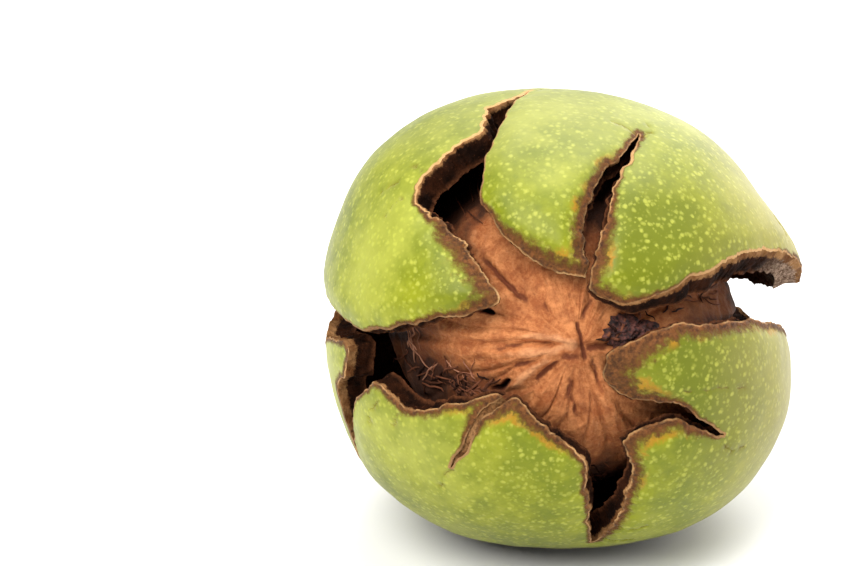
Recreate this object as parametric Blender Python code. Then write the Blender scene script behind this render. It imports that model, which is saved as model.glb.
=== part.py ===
"""A walnut in its split green husk, lying on its side with the split end towards -Y.

Two pieces: the fleshy husk, which has burst into lobes round the fruit's tip, and the ridged nut
inside it. Both are worked out in the fruit's own axes, in millimetres, with the tip at +Z. A place
on the skin is (azimuth, colatitude) in degrees: the azimuth runs anticlockwise as seen from the
tip, and the colatitude is 0 at the tip and 180 at the stem. An empty then tilts the fruit, in
metres, and stands it on the surface with the world origin at the centre of its small flat.
"""

import math

import bmesh
import bpy
import numpy as np
from mathutils import Euler, Vector, noise
from mathutils.geometry import delaunay_2d_cdt

MM = 0.001

# Driving dimensions, in millimetres and degrees
HUSK_RADIUS = 25.55
HUSK_TIP = 25.5
HUSK_STEM = 28.5
WALL_AT_TIP = 1.6
WALL_AT_WAIST = 3.3
WALL_AT_STEM = 5.4
NUT_RADIUS = 17.8
NUT_HALF_LENGTH = 21.3
NUT_FORWARD = -0.4
AXIS_TILT = 14.5
FLAT_DEPTH = 0.6

# How far the husk is out of round at its waist: how many waves go round it, their height as a part
# of its radius, and the azimuth of a crest
HUSK_WAVES = ((1, 0.022, 214.0), (2, 0.024, 147.0), (3, 0.008, 96.0), (4, 0.0255, 46.0))

# The raggedness of the torn edge, coarse then fine: how far it strays, over what distance
RAGGED = ((0.45, 3.4), (0.25, 1.5))

# How far apart the noise for the three axes is taken
NOISE_SHIFTS = (0.0, 17.3, 41.9)

# Where the fruit's lowest point is looked for: from, to and how many steps
LOWEST_AZIMUTHS = (252.0, 286.5, 121)
LOWEST_COLATITUDES = (86.0, 126.0, 141)

# How far the skin's rounding and the lobes' bending reach back from a torn edge
ROLL_REACH = 2.6
LIFT_REACH = 10.0

# Below this squared distance, in mm2, points of the torn edge count alike in how the skin bends
BEND_SOFTNESS = 0.2

# Mesh spacing. Points inside a sheet keep clear of its edge by EDGE_CLEAR of the sheet's step.
EDGE_STEP = 1.05
SKIN_STEP = 2.5
LINING_STEP = 3.2
EDGE_CLEAR = 0.6
EVEN_CELL = 0.87
FLAT_BORDER_POINTS = 24
FLAT_BORDER_REACH = 12.0
FLAT_BORDER_HALVINGS = 24
NUT_SEGMENTS = 72
NUT_RINGS = 36

# The torn edge, lobe by lobe, anticlockwise from the wide split on the right. Each lobe runs
# from the root of one split, round its own tip, to the root of the next, through points of
# (azimuth, colatitude). Roll is how far the skin drops at the edge and lift how far the lobe
# stands out (or bends in, below 0), in mm, at even steps along the lobe's edge.
LOBES = {
    "upper_right": {
        "edge": [(4, 137), (6.5, 122), (6, 111), (5.5, 101), (7.5, 93), (11.5, 86), (15, 78.5),
                 (18.5, 71), (21, 65), (23.5, 57.5), (25.5, 49.5), (26.5, 41.5), (28.5, 33.5),
                 (30.5, 25), (36, 18), (48, 14.5), (66, 14), (79, 16.5), (78, 24.5),
                 (76.5, 31.5), (75, 39.5), (73, 47.5), (71.5, 55.5)],
        "roll": (0.2, 0.2, 0.3, 0.4, 0.5, 0.8, 1.3, 0.8, 0.4, 0.2),
        "lift": (0.3, 2.1, 1.9, 0.7, 0.2, 0.0, -1.0, -0.4, 0.2, 0.0),
    },
    "top": {
        "edge": [(69.5, 64), (74.5, 54), (78.5, 48), (82, 41), (84.5, 35.5), (86, 30), (85.5, 25.5),
                 (82.5, 22.5), (83.5, 18), (91.5, 18.5), (102.5, 19.5), (112, 21.5), (118, 25),
                 (121, 29), (122.5, 33.5), (122.5, 38.5), (122, 43), (119.5, 48), (116, 53.5),
                 (112.5, 58), (109, 63.5), (105, 71), (101, 80)],
        "roll": (0.4, 1.5, 1.7, 1.4, 1.0, 0.8, 0.3),
        "lift": (0.0, -0.2, -0.7, -1.2, -0.5, 0.0, 0.0),
    },
    "upper_left": {
        "edge": [(96, 90), (100, 83), (105, 76.5), (108.5, 75), (110.5, 69), (113.5, 63.5),
                 (118.5, 61), (123, 60), (127, 58.5), (131.5, 57.5), (135, 56), (138, 54.5),
                 (137.5, 49.5), (137.5, 45), (138, 42), (137, 38), (140, 31.5), (143, 26),
                 (148, 22), (156, 24), (163, 28.5), (168, 34.5), (172, 41), (176, 51), (177, 59),
                 (176, 67), (174.5, 76), (173, 87), (172.5, 100)],
        "roll": (0.2, 0.3, 0.3, 0.5, 1.4, 1.5, 1.2, 0.9, 0.4),
        "lift": (0.0, 0.0, 0.3, 0.2, -0.9, -0.8, 0.3, 0.6, 0.0),
    },
    "left_rim": {
        "edge": [(176, 112), (182, 100), (183.5, 88), (182, 78), (181, 70), (183.5, 66), (187, 67.5),
                 (190, 68.5), (192, 74.5), (196, 79.5), (201, 81), (207, 82.5)],
        "roll": (0.2, 0.3, 0.3, 0.2),
        "lift": (0.0, 0.2, 0.2, 0.0),
    },
    "bottom_left": {
        "edge": [(212, 85), (207.5, 77.5), (202.5, 71.5), (198, 67), (194, 61.5), (192, 56.5),
                 (195, 52), (199.5, 48), (202, 44), (203, 37), (206, 29.5), (209.5, 23.5),
                 (212, 22), (214.5, 26.5), (217, 31.5), (220, 36), (222.5, 40)],
        "roll": (0.2, 0.4, 0.5, 0.5, 0.8, 0.5, 0.2),
        "lift": (0.2, 0.4, 0.1, 0.0, -0.7, -0.3, 0.0),
    },
    "bottom": {
        "edge": [(225, 44), (223.5, 39), (221, 34), (218.5, 29), (217, 25), (216, 20.5),
                 (223, 19), (236, 20), (248, 22.5), (258, 24.5), (265, 26), (271, 30),
                 (272.5, 38), (274, 47.5), (274, 57.5)],
        "roll": (0.2, 0.5, 1.2, 1.0, 0.7, 0.4, 0.2),
        "lift": (0.0, 0.1, -0.7, -0.8, -0.4, 0.0, 0.0),
    },
    "bottom_right": {
        "edge": [(275, 68), (278, 63), (281.5, 56.5), (285, 49.5), (289, 42), (292.5, 35.5),
                 (292.5, 30), (293.5, 27.5), (299, 26), (307.5, 26), (315.5, 27), (320.5, 30),
                 (323, 34), (323.5, 38.5)],
        "roll": (0.3, 0.9, 1.2, 1.3, 1.5, 1.0, 0.3),
        "lift": (0.0, 0.1, 0.0, -0.6, -0.4, 0.0, 0.0),
    },
    "right": {
        "edge": [(326, 44.5), (326.5, 38.5), (328, 32), (327, 26), (322, 22), (315, 18),
                 (309, 15), (306, 12), (309, 8.5), (326, 7), (342, 6.5), (355, 8), (362, 11.5),
                 (367, 15), (370.5, 18.5), (370, 24), (367, 33), (365.5, 41), (364.5, 47.5),
                 (363.5, 53), (362, 58.5), (360.5, 64), (358.5, 71), (356, 80), (354, 90),
                 (353, 101), (353.5, 113), (356.5, 124)],
        "roll": (0.3, 0.8, 1.5, 1.0, 0.9, 0.7, 0.8, 0.6, 0.3, 0.2),
        "lift": (0.0, -0.2, -1.5, -0.9, -0.3, 0.1, -0.4, -0.9, -0.5, -0.2),
    },
}

# The nut's relief, in millimetres
SUTURE_HEIGHT = 0.7
SUTURE_WIDTH = 1.7
SUTURE_GROOVE = 0.5
SUTURE_GROOVE_WIDTH = 0.45
NUT_POINT_HEIGHT = 1.0
NUT_POINT_WIDTH = 2.4
RIDGE_HEIGHT = 0.55
RIDGES_AROUND = 2.6
RIDGES_ALONG = 1.3
RIDGE_SWAY = 0.35
FURROW_DEPTH = 0.6
FURROW_WIDTH = 0.22


def smooth_step(value):
    """0 below 0, 1 above 1, and a smooth rise between them."""
    part = np.clip(value, 0.0, 1.0)
    return part * part * (3.0 - 2.0 * part)


def noise_at(points):
    """Smooth noise from about -1 to 1 at each point, the same on each run."""
    return np.array([noise.noise(Vector(point)) for point in points])


def noise_along_axes(points):
    """Smooth noise from about -1 to 1 along each of the three axes at each point."""
    return np.column_stack([noise_at(points + shift) for shift in NOISE_SHIFTS])


def husk_radius(azimuth):
    """The husk's radius at its waist, which is a little out of round."""
    swell = sum(height * np.cos(waves * (azimuth - math.radians(crest)))
                for waves, height, crest in HUSK_WAVES)
    return HUSK_RADIUS * (1.0 + swell)


def skin(azimuth, colatitude):
    """The whole fruit's outer skin and its outward normals, at angles in radians."""
    radius = husk_radius(azimuth)
    height = np.where(colatitude < math.pi / 2, HUSK_TIP, HUSK_STEM)
    across = radius * np.sin(colatitude)
    points = np.stack([across * np.cos(azimuth), across * np.sin(azimuth),
                       height * np.cos(colatitude)], axis=-1)
    normals = points / np.stack([radius**2, radius**2, height**2], axis=-1)
    return points, normals / np.linalg.norm(normals, axis=-1, keepdims=True)


def angles_of(points):
    """The azimuth and colatitude of points on the skin, in radians."""
    azimuth = np.arctan2(points[:, 1], points[:, 0])
    across = np.hypot(points[:, 0], points[:, 1]) / husk_radius(azimuth)
    height = points[:, 2] / np.where(points[:, 2] > 0, HUSK_TIP, HUSK_STEM)
    return azimuth, np.arctan2(across, height)


def wall(colatitude):
    """The husk's thickness: thin at the lobes' tips, and thickest behind the nut's stem end."""
    towards_waist = smooth_step((colatitude - math.radians(10.0)) / math.radians(60.0))
    towards_stem = smooth_step((colatitude - math.radians(115.0)) / math.radians(60.0))
    front = WALL_AT_TIP + (WALL_AT_WAIST - WALL_AT_TIP) * towards_waist
    return front + (WALL_AT_STEM - WALL_AT_WAIST) * towards_stem


def blend(start, end, start_knot, end_knot, knot):
    """From start to end as the knot goes from the first knot to the last."""
    return (start * (end_knot - knot) + end * (knot - start_knot)) / (end_knot - start_knot)


def curve_through(rows, per_span=24):
    """A closed smooth curve through rows that start with a point: centripetal Catmull-Rom."""
    found = []
    for i in range(len(rows)):
        a, b, c, d = (rows[(i + k) % len(rows)] for k in (-1, 0, 1, 2))
        spans = [math.sqrt(np.linalg.norm((end - start)[:3])) for start, end in ((a, b), (b, c), (c, d))]
        ka, kb, kc, kd = np.cumsum([0.0, *spans])
        knot = np.linspace(kb, kc, per_span, endpoint=False)[:, None]
        ab = blend(a, b, ka, kb, knot)
        bc = blend(b, c, kb, kc, knot)
        cd = blend(c, d, kc, kd, knot)
        abc = blend(ab, bc, ka, kc, knot)
        bcd = blend(bc, cd, kb, kd, knot)
        found.append(blend(abc, bcd, kb, kc, knot))
    return np.concatenate(found)


def lobe_rows(lobe):
    """A lobe's edge as (x, y, z, roll, lift) rows."""
    points, _ = skin(*np.radians(np.array(lobe["edge"], float)).T)
    along = np.linspace(0.0, 1.0, len(points), endpoint=False)
    bends = [np.interp(along, np.linspace(0.0, 1.0, len(lobe[k])), lobe[k]) for k in ("roll", "lift")]
    return np.column_stack([points, *bends])


def torn_edge(step):
    """The torn edge as (azimuth, colatitude, roll, lift) rows about step mm apart, all round."""
    fine = curve_through(np.concatenate([lobe_rows(lobe) for lobe in LOBES.values()]))
    closed = np.concatenate([fine, fine[:1]])
    length = np.cumsum([0.0, *np.linalg.norm(np.diff(closed[:, :3], axis=0), axis=1)])
    at = np.linspace(0.0, length[-1], round(length[-1] / step), endpoint=False)
    even = np.column_stack([np.interp(at, length, column) for column in closed.T])
    azimuth, colatitude = angles_of(even[:, :3] + ragged(even[:, :3]))
    return np.column_stack([azimuth, colatitude, even[:, 3:]])


def ragged(points):
    """How far each point of the torn edge strays, in mm, sideways and along."""
    strayed = np.zeros_like(points)
    for height, distance in RAGGED:
        strayed += height * noise_along_axes(points / distance)
    return strayed


def even_angles(step):
    """Azimuths and colatitudes spread evenly over the fruit, about step mm apart."""
    count = round(4.0 * math.pi * HUSK_RADIUS**2 / (EVEN_CELL * step**2))
    index = np.arange(count) + 0.5
    colatitude = np.arccos(1.0 - 2.0 * index / count)
    azimuth = np.mod(index * math.pi * (3.0 - math.sqrt(5.0)), 2.0 * math.pi)
    return azimuth, colatitude


def on_plane(azimuth, colatitude):
    """The fruit laid flat with the stem at the middle, where the husk is one flower-like shape."""
    radius = np.tan((math.pi - colatitude) / 2.0)
    return np.column_stack([radius * np.cos(azimuth), radius * np.sin(azimuth)])


def inside(points, polygon):
    """Which points of the plane lie inside the closed polygon."""
    found = np.zeros(len(points), bool)
    for (ax, ay), (bx, by) in zip(polygon, np.roll(polygon, -1, axis=0)):
        if ay != by:
            crosses = (ay > points[:, 1]) != (by > points[:, 1])
            found ^= crosses & (points[:, 0] < ax + (points[:, 1] - ay) * (bx - ax) / (by - ay))
    return found


def distances(points, edge_points):
    """From each point to every point of the torn edge, in mm."""
    return np.linalg.norm(points[:, None, :] - edge_points[None, :, :], axis=2)


def husk_sheet(edge, step):
    """The husk's outline filled with triangles: their angles and corners, the edge's own first."""
    border = flat_border()
    fixed = np.concatenate([edge[:, :2], border])
    azimuth, colatitude = even_angles(step)
    points, _ = skin(azimuth, colatitude)
    clear = distances(points, skin(*fixed.T)[0]).min(axis=1) > EDGE_CLEAR * step
    azimuth = np.concatenate([fixed[:, 0], azimuth[clear]])
    colatitude = np.concatenate([fixed[:, 1], colatitude[clear]])
    flat = on_plane(azimuth, colatitude)
    count = len(edge)
    rim = [(i, (i + 1) % count) for i in range(count)]
    placed, _, faces, _, _, _ = delaunay_2d_cdt([Vector(p) for p in flat], rim, [], 0, 1e-9)
    if len(placed) != len(flat):
        raise ValueError("the torn edge crosses itself")
    faces = np.array(faces)
    middles = flat[faces].mean(axis=1)
    faces = faces[inside(middles, flat[:count])]
    kept, faces = np.unique(np.concatenate([np.arange(count), faces.ravel()]), return_inverse=True)
    faces = faces[count:].reshape(-1, 3)
    return azimuth[kept], colatitude[kept], faces


def bend(points, edge):
    """How far the skin rolls down, and how far the lobe stands out, at each point, in mm."""
    edge_points, _ = skin(edge[:, 0], edge[:, 1])
    away = distances(points, edge_points)
    nearest = away.min(axis=1)
    weights = 1.0 / (away**2 + BEND_SOFTNESS) ** 2
    weights /= weights.sum(axis=1, keepdims=True)
    roll = (weights @ edge[:, 2]) * np.clip(1.0 - nearest / ROLL_REACH, 0.0, 1.0) ** 2
    lift = (weights @ edge[:, 3]) * smooth_step(1.0 - nearest / LIFT_REACH)
    return roll, lift


def facing_out(points, normals, faces):
    """The triangles, turned where they don't look along the normals."""
    corners = points[faces]
    looks = np.cross(corners[:, 1] - corners[:, 0], corners[:, 2] - corners[:, 0])
    wrong = (looks * normals[faces[:, 0]]).sum(axis=1) < 0
    turned = faces.copy()
    turned[wrong] = turned[wrong][:, ::-1]
    return turned


def husk_layer(edge, step, thickness):
    """The outer skin, or the lining under it by the thickness: points, and triangles facing out."""
    azimuth, colatitude, faces = husk_sheet(edge, step)
    points, normals = skin(azimuth, colatitude)
    roll, lift = bend(points, edge)
    under = thickness(colatitude) if thickness else roll
    return points + normals * (lift - under)[:, None], facing_out(points, normals, faces)


def strip(upper, lower):
    """Triangles between two closed rows of point numbers."""
    next_upper, next_lower = np.roll(upper, -1), np.roll(lower, -1)
    return np.concatenate([np.column_stack([upper, next_upper, next_lower]),
                           np.column_stack([upper, next_lower, lower])])


def husk_points():
    """The husk as one closed body: outer skin, lining, and the torn wall between them."""
    edge = torn_edge(EDGE_STEP)
    outer, outer_faces = husk_layer(edge, SKIN_STEP, None)
    inner, inner_faces = husk_layer(edge, LINING_STEP, wall)
    rim = np.arange(len(edge))
    inner_start = len(outer)
    middle_start = inner_start + len(inner)
    middle = 0.5 * (outer[rim] + inner[rim])
    faces = np.concatenate([
        outer_faces,
        inner_start + inner_faces[:, ::-1],
        strip(rim, middle_start + rim),
        strip(middle_start + rim, inner_start + rim),
    ])
    return np.concatenate([outer, inner, middle]), faces


def nut_relief(points, azimuth, colatitude):
    """How far the shell stands out from a plain oval: seam, point, long ridges and furrows."""
    off_seam = points[:, 1]
    seam = SUTURE_HEIGHT * np.exp(-((off_seam / SUTURE_WIDTH) ** 2))
    seam -= SUTURE_GROOVE * np.exp(-((off_seam / SUTURE_GROOVE_WIDTH) ** 2))
    from_axis = np.hypot(points[:, 0], points[:, 1])
    point = NUT_POINT_HEIGHT * np.exp(-((from_axis / NUT_POINT_WIDTH) ** 2)) * (points[:, 2] > 0)
    around = np.column_stack([np.cos(azimuth), np.sin(azimuth), colatitude])
    sway = RIDGE_SWAY * noise_at(around * 1.5 + 7.0)
    along = np.column_stack([np.cos(azimuth + sway), np.sin(azimuth + sway), colatitude])
    along *= (RIDGES_AROUND, RIDGES_AROUND, RIDGES_ALONG)
    ridges = RIDGE_HEIGHT * noise_at(along + 3.0)
    furrows = np.clip(1.0 - np.abs(noise_at(along * 1.3 + 11.0)) / FURROW_WIDTH, 0.0, 1.0)
    fade = smooth_step((from_axis - 1.0) / 5.0)
    return seam + point + fade * (ridges - FURROW_DEPTH * furrows**1.5)


def nut_points(normals):
    """Points of the nut's surface, in mm, for the points of a unit sphere."""
    azimuth = np.arctan2(normals[:, 1], normals[:, 0])
    colatitude = np.arccos(np.clip(normals[:, 2], -1.0, 1.0))
    points = normals * (NUT_RADIUS, NUT_RADIUS, NUT_HALF_LENGTH)
    points = points + normals * nut_relief(points, azimuth, colatitude)[:, None]
    return points + (0.0, 0.0, NUT_FORWARD)


def rest_plane():
    """The surface that the fruit rests on, in its axes: the way down, and the flat's centre."""
    down = np.array(fruit_turn().inverted() @ Vector((0.0, 0.0, -1.0)))
    azimuth, colatitude = np.meshgrid(np.radians(np.linspace(*LOWEST_AZIMUTHS)),
                                      np.radians(np.linspace(*LOWEST_COLATITUDES)))
    points, _ = skin(azimuth.ravel(), colatitude.ravel())
    lowest = points[(points @ down).argmax()]
    return down, lowest - FLAT_DEPTH * down


def flat_border():
    """The border of the flat, as (azimuth, colatitude) rows, found by halving from its centre."""
    down, centre = rest_plane()
    across = np.cross(down, (0.0, 0.0, 1.0))
    across /= np.linalg.norm(across)
    turns = np.linspace(0.0, 2.0 * math.pi, FLAT_BORDER_POINTS, endpoint=False)[:, None]
    ways = np.cos(turns) * across + np.sin(turns) * np.cross(down, across)
    near = np.zeros((FLAT_BORDER_POINTS, 1))
    far = np.full((FLAT_BORDER_POINTS, 1), FLAT_BORDER_REACH)
    for _ in range(FLAT_BORDER_HALVINGS):
        middle = 0.5 * (near + far)
        points = centre + middle * ways
        on_skin, _ = skin(*angles_of(points))
        under = (np.linalg.norm(points, axis=1) < np.linalg.norm(on_skin, axis=1))[:, None]
        near = np.where(under, middle, near)
        far = np.where(under, far, middle)
    return np.column_stack(angles_of(centre + near * ways))


def fruit_turn():
    """The turn from the fruit's axes to the world's: its tip looks along -Y and a little up."""
    return Euler((math.radians(90.0 - AXIS_TILT), 0.0, 0.0)).to_matrix()


def pressed_flat(points):
    """Points in the fruit's axes, with those below the surface that it rests on raised to it."""
    down, centre = rest_plane()
    below = np.maximum((points - centre) @ down, 0.0)
    return points - below[:, None] * down


def fruit_axes():
    """The empty that carries both pieces."""
    axes = bpy.data.objects.new("fruit_axes", None)
    bpy.context.scene.collection.objects.link(axes)
    axes.rotation_euler = fruit_turn().to_euler()
    axes.location = -(fruit_turn() @ Vector(rest_plane()[1])) * MM
    return axes


def material(name, colour, roughness):
    """A plain Principled material."""
    made = bpy.data.materials.new(name)
    made.use_nodes = True
    shader = made.node_tree.nodes["Principled BSDF"]
    shader.inputs["Base Color"].default_value = (*colour, 1.0)
    shader.inputs["Roughness"].default_value = roughness
    shader.inputs["Metallic"].default_value = 0.0
    made.diffuse_color = (*colour, 1.0)
    return made


def add_piece(name, mesh, carrier, finish):
    """One named object, smooth but for its torn corners, carried by the fruit's axes."""
    mesh.materials.append(finish)
    mesh.shade_smooth()
    mesh.set_sharp_from_angle(angle=math.radians(50.0))
    piece = bpy.data.objects.new(name, mesh)
    piece.parent = carrier
    bpy.context.scene.collection.objects.link(piece)
    return piece


def add_husk(carrier):
    """The husk, with the part of it that would be below the surface pressed flat."""
    points, faces = husk_points()
    mesh = bpy.data.meshes.new("husk")
    mesh.from_pydata((pressed_flat(points) * MM).tolist(), [], faces.tolist())
    add_piece("husk", mesh, carrier, material("husk_skin", (0.33, 0.45, 0.06), 0.5))


def add_nut(carrier):
    """The nut: a sphere drawn out to its size and carved in relief."""
    shape = bmesh.new()
    bmesh.ops.create_uvsphere(shape, u_segments=NUT_SEGMENTS, v_segments=NUT_RINGS, radius=1.0)
    bmesh.ops.triangulate(shape, faces=shape.faces)
    normals = np.array([vertex.co for vertex in shape.verts])
    points = nut_points(normals)
    for vertex, point in zip(shape.verts, points):
        vertex.co = point * MM
    mesh = bpy.data.meshes.new("nut")
    shape.to_mesh(mesh)
    shape.free()
    add_piece("nut", mesh, carrier, material("nut_shell", (0.42, 0.19, 0.08), 0.75))


def main():
    for old in list(bpy.data.objects):
        bpy.data.objects.remove(old)
    carrier = fruit_axes()
    add_husk(carrier)
    add_nut(carrier)


main()
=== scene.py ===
"""The looks of a walnut in its split green husk, lying on its side with the split end at -Y.

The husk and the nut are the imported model's own forms, worked out again from the same named values
at a finer step: freckled skin that browns and dries towards the torn edge, a dark torn wall and
lining, and a fibrous ridged shell. Strands, hairs and a dark shred of flesh lie on the nut.

Forms are worked out in the fruit's own axes, in millimetres, with the tip at +Z, and then placed
in the world. Places on the skin are (azimuth, colatitude) in degrees, the azimuth anticlockwise as
seen from the tip. Materials measure millimetres along the world's axes.
"""

import math

import bpy
import numpy as np
from mathutils import Euler, Matrix, Vector, noise
from mathutils.geometry import delaunay_2d_cdt
from mathutils.kdtree import KDTree


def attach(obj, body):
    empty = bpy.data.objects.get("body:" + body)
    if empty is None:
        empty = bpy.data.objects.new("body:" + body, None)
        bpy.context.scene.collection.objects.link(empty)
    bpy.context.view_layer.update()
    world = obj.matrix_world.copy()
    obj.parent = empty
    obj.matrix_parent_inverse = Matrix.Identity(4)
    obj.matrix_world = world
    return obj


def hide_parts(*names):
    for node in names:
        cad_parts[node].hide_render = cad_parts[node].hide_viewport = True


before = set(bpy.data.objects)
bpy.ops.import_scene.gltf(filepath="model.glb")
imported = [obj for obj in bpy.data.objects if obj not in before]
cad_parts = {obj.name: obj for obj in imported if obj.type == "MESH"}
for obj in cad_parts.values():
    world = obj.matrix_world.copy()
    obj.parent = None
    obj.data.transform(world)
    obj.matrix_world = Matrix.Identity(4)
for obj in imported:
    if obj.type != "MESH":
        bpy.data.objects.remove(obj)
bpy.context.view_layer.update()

MM = 0.001

# The husk and the nut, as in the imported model, in millimetres and degrees
HUSK_RADIUS = 25.55
HUSK_TIP = 25.5
HUSK_STEM = 28.5
WALL_AT_TIP = 1.6
WALL_AT_WAIST = 3.3
WALL_AT_STEM = 5.4
TIP_WALL_END = 10.0
STEM_WALL_START = 115.0
WALL_CHANGE = 60.0
NUT_RADIUS = 17.8
NUT_HALF_LENGTH = 21.3
NUT_FORWARD = -0.4
AXIS_TILT = 14.5
FLAT_DEPTH = 0.6
ROLL_REACH = 2.6
LIFT_REACH = 10.0
BEND_SOFTNESS = 0.2
EVEN_CELL = 0.87
LOWEST_AZIMUTHS = (252.0, 286.5, 121)
LOWEST_COLATITUDES = (86.0, 126.0, 141)
RAGGED = ((0.45, 3.4), (0.25, 1.5))
HUSK_WAVES = ((1, 0.022, 214.0), (2, 0.024, 147.0), (3, 0.008, 96.0), (4, 0.0255, 46.0))
NOISE_SHIFTS = (0.0, 17.3, 41.9)

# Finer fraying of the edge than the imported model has: how far, over what distance; its mean weight;
# and, where the edge would cross itself, how far along it and by how much the fraying is calmed
FRAYED = ((0.36, 0.95), (0.14, 0.42), (0.05, 0.2))
FRAY_MEAN = 0.9
CALM_REACH = 3
CALMING = 0.7
CROSSING_LOOP = 15

# Lumps, as (height, size, shift): the height in mm or as a share of what they vary, the size in mm,
# and a shift that picks a place in the noise
FRAY_UNEVEN = ((0.9, 3.0, 40.0),)
SKIN_LUMPS = ((0.13, 6.5, 0.0), (0.06, 2.4, 5.0))
SKIN_PUCKERS = ((0.10, 0.8, 2.0),)
LIP_UNEVEN = ((0.6, 1.1, 9.0),)
LEDGE_UNEVEN = ((0.35, 1.7, 3.0),)
LINING_LUMPS = ((0.10, 2.2, 4.0), (0.05, 0.9, 0.0))
RIM_ROUGHNESS = ((0.22, 1.3, 8.0), (0.12, 0.5, 0.0))
WALL_ROUGHNESS = ((0.24, 0.9, 1.0), (0.12, 0.35, 0.0))
WALL_UNEVEN = ((0.5, 2.5, 6.0),)
FILLING_ROUGHNESS = ((0.35, 0.8, 0.0), (0.2, 0.3, 4.0))
FIBRE_SWAY = ((0.10, 5.0, 3.0),)

# The skin's dried lip: how high, how far back from the edge and how wide; and how far the browned
# band beside it has shrunk, all in mm
LIP_HEIGHT = 0.10
LIP_BACK = 0.30
LIP_WIDTH = 0.28
SHRUNK_DEPTH = 0.16
SHRUNK_FROM = 0.8

# How far the shrunken skin and its puckers reach, in widths of the band, and the least width
SHRUNK_REACH = (1.3, 0.2)
PUCKER_REACH = (1.4, 0.3)

# The torn wall, in mm: how far it is eaten back between skin and lining, the ledge that fills that
# again, how far it stays back at the lining and between, and the length that its roughness spans;
# and how steeply a ledge comes out below the skin. A ledge is dark flesh, partly painted shade.
WALL_HOLLOW = 0.55
LEDGE_FULL = 0.8
WALL_BACK = 0.05
LEAST_BACK = 0.02
ROUGHNESS_SPAN = 3.0
LEDGE_STEEPNESS = 0.6
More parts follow.
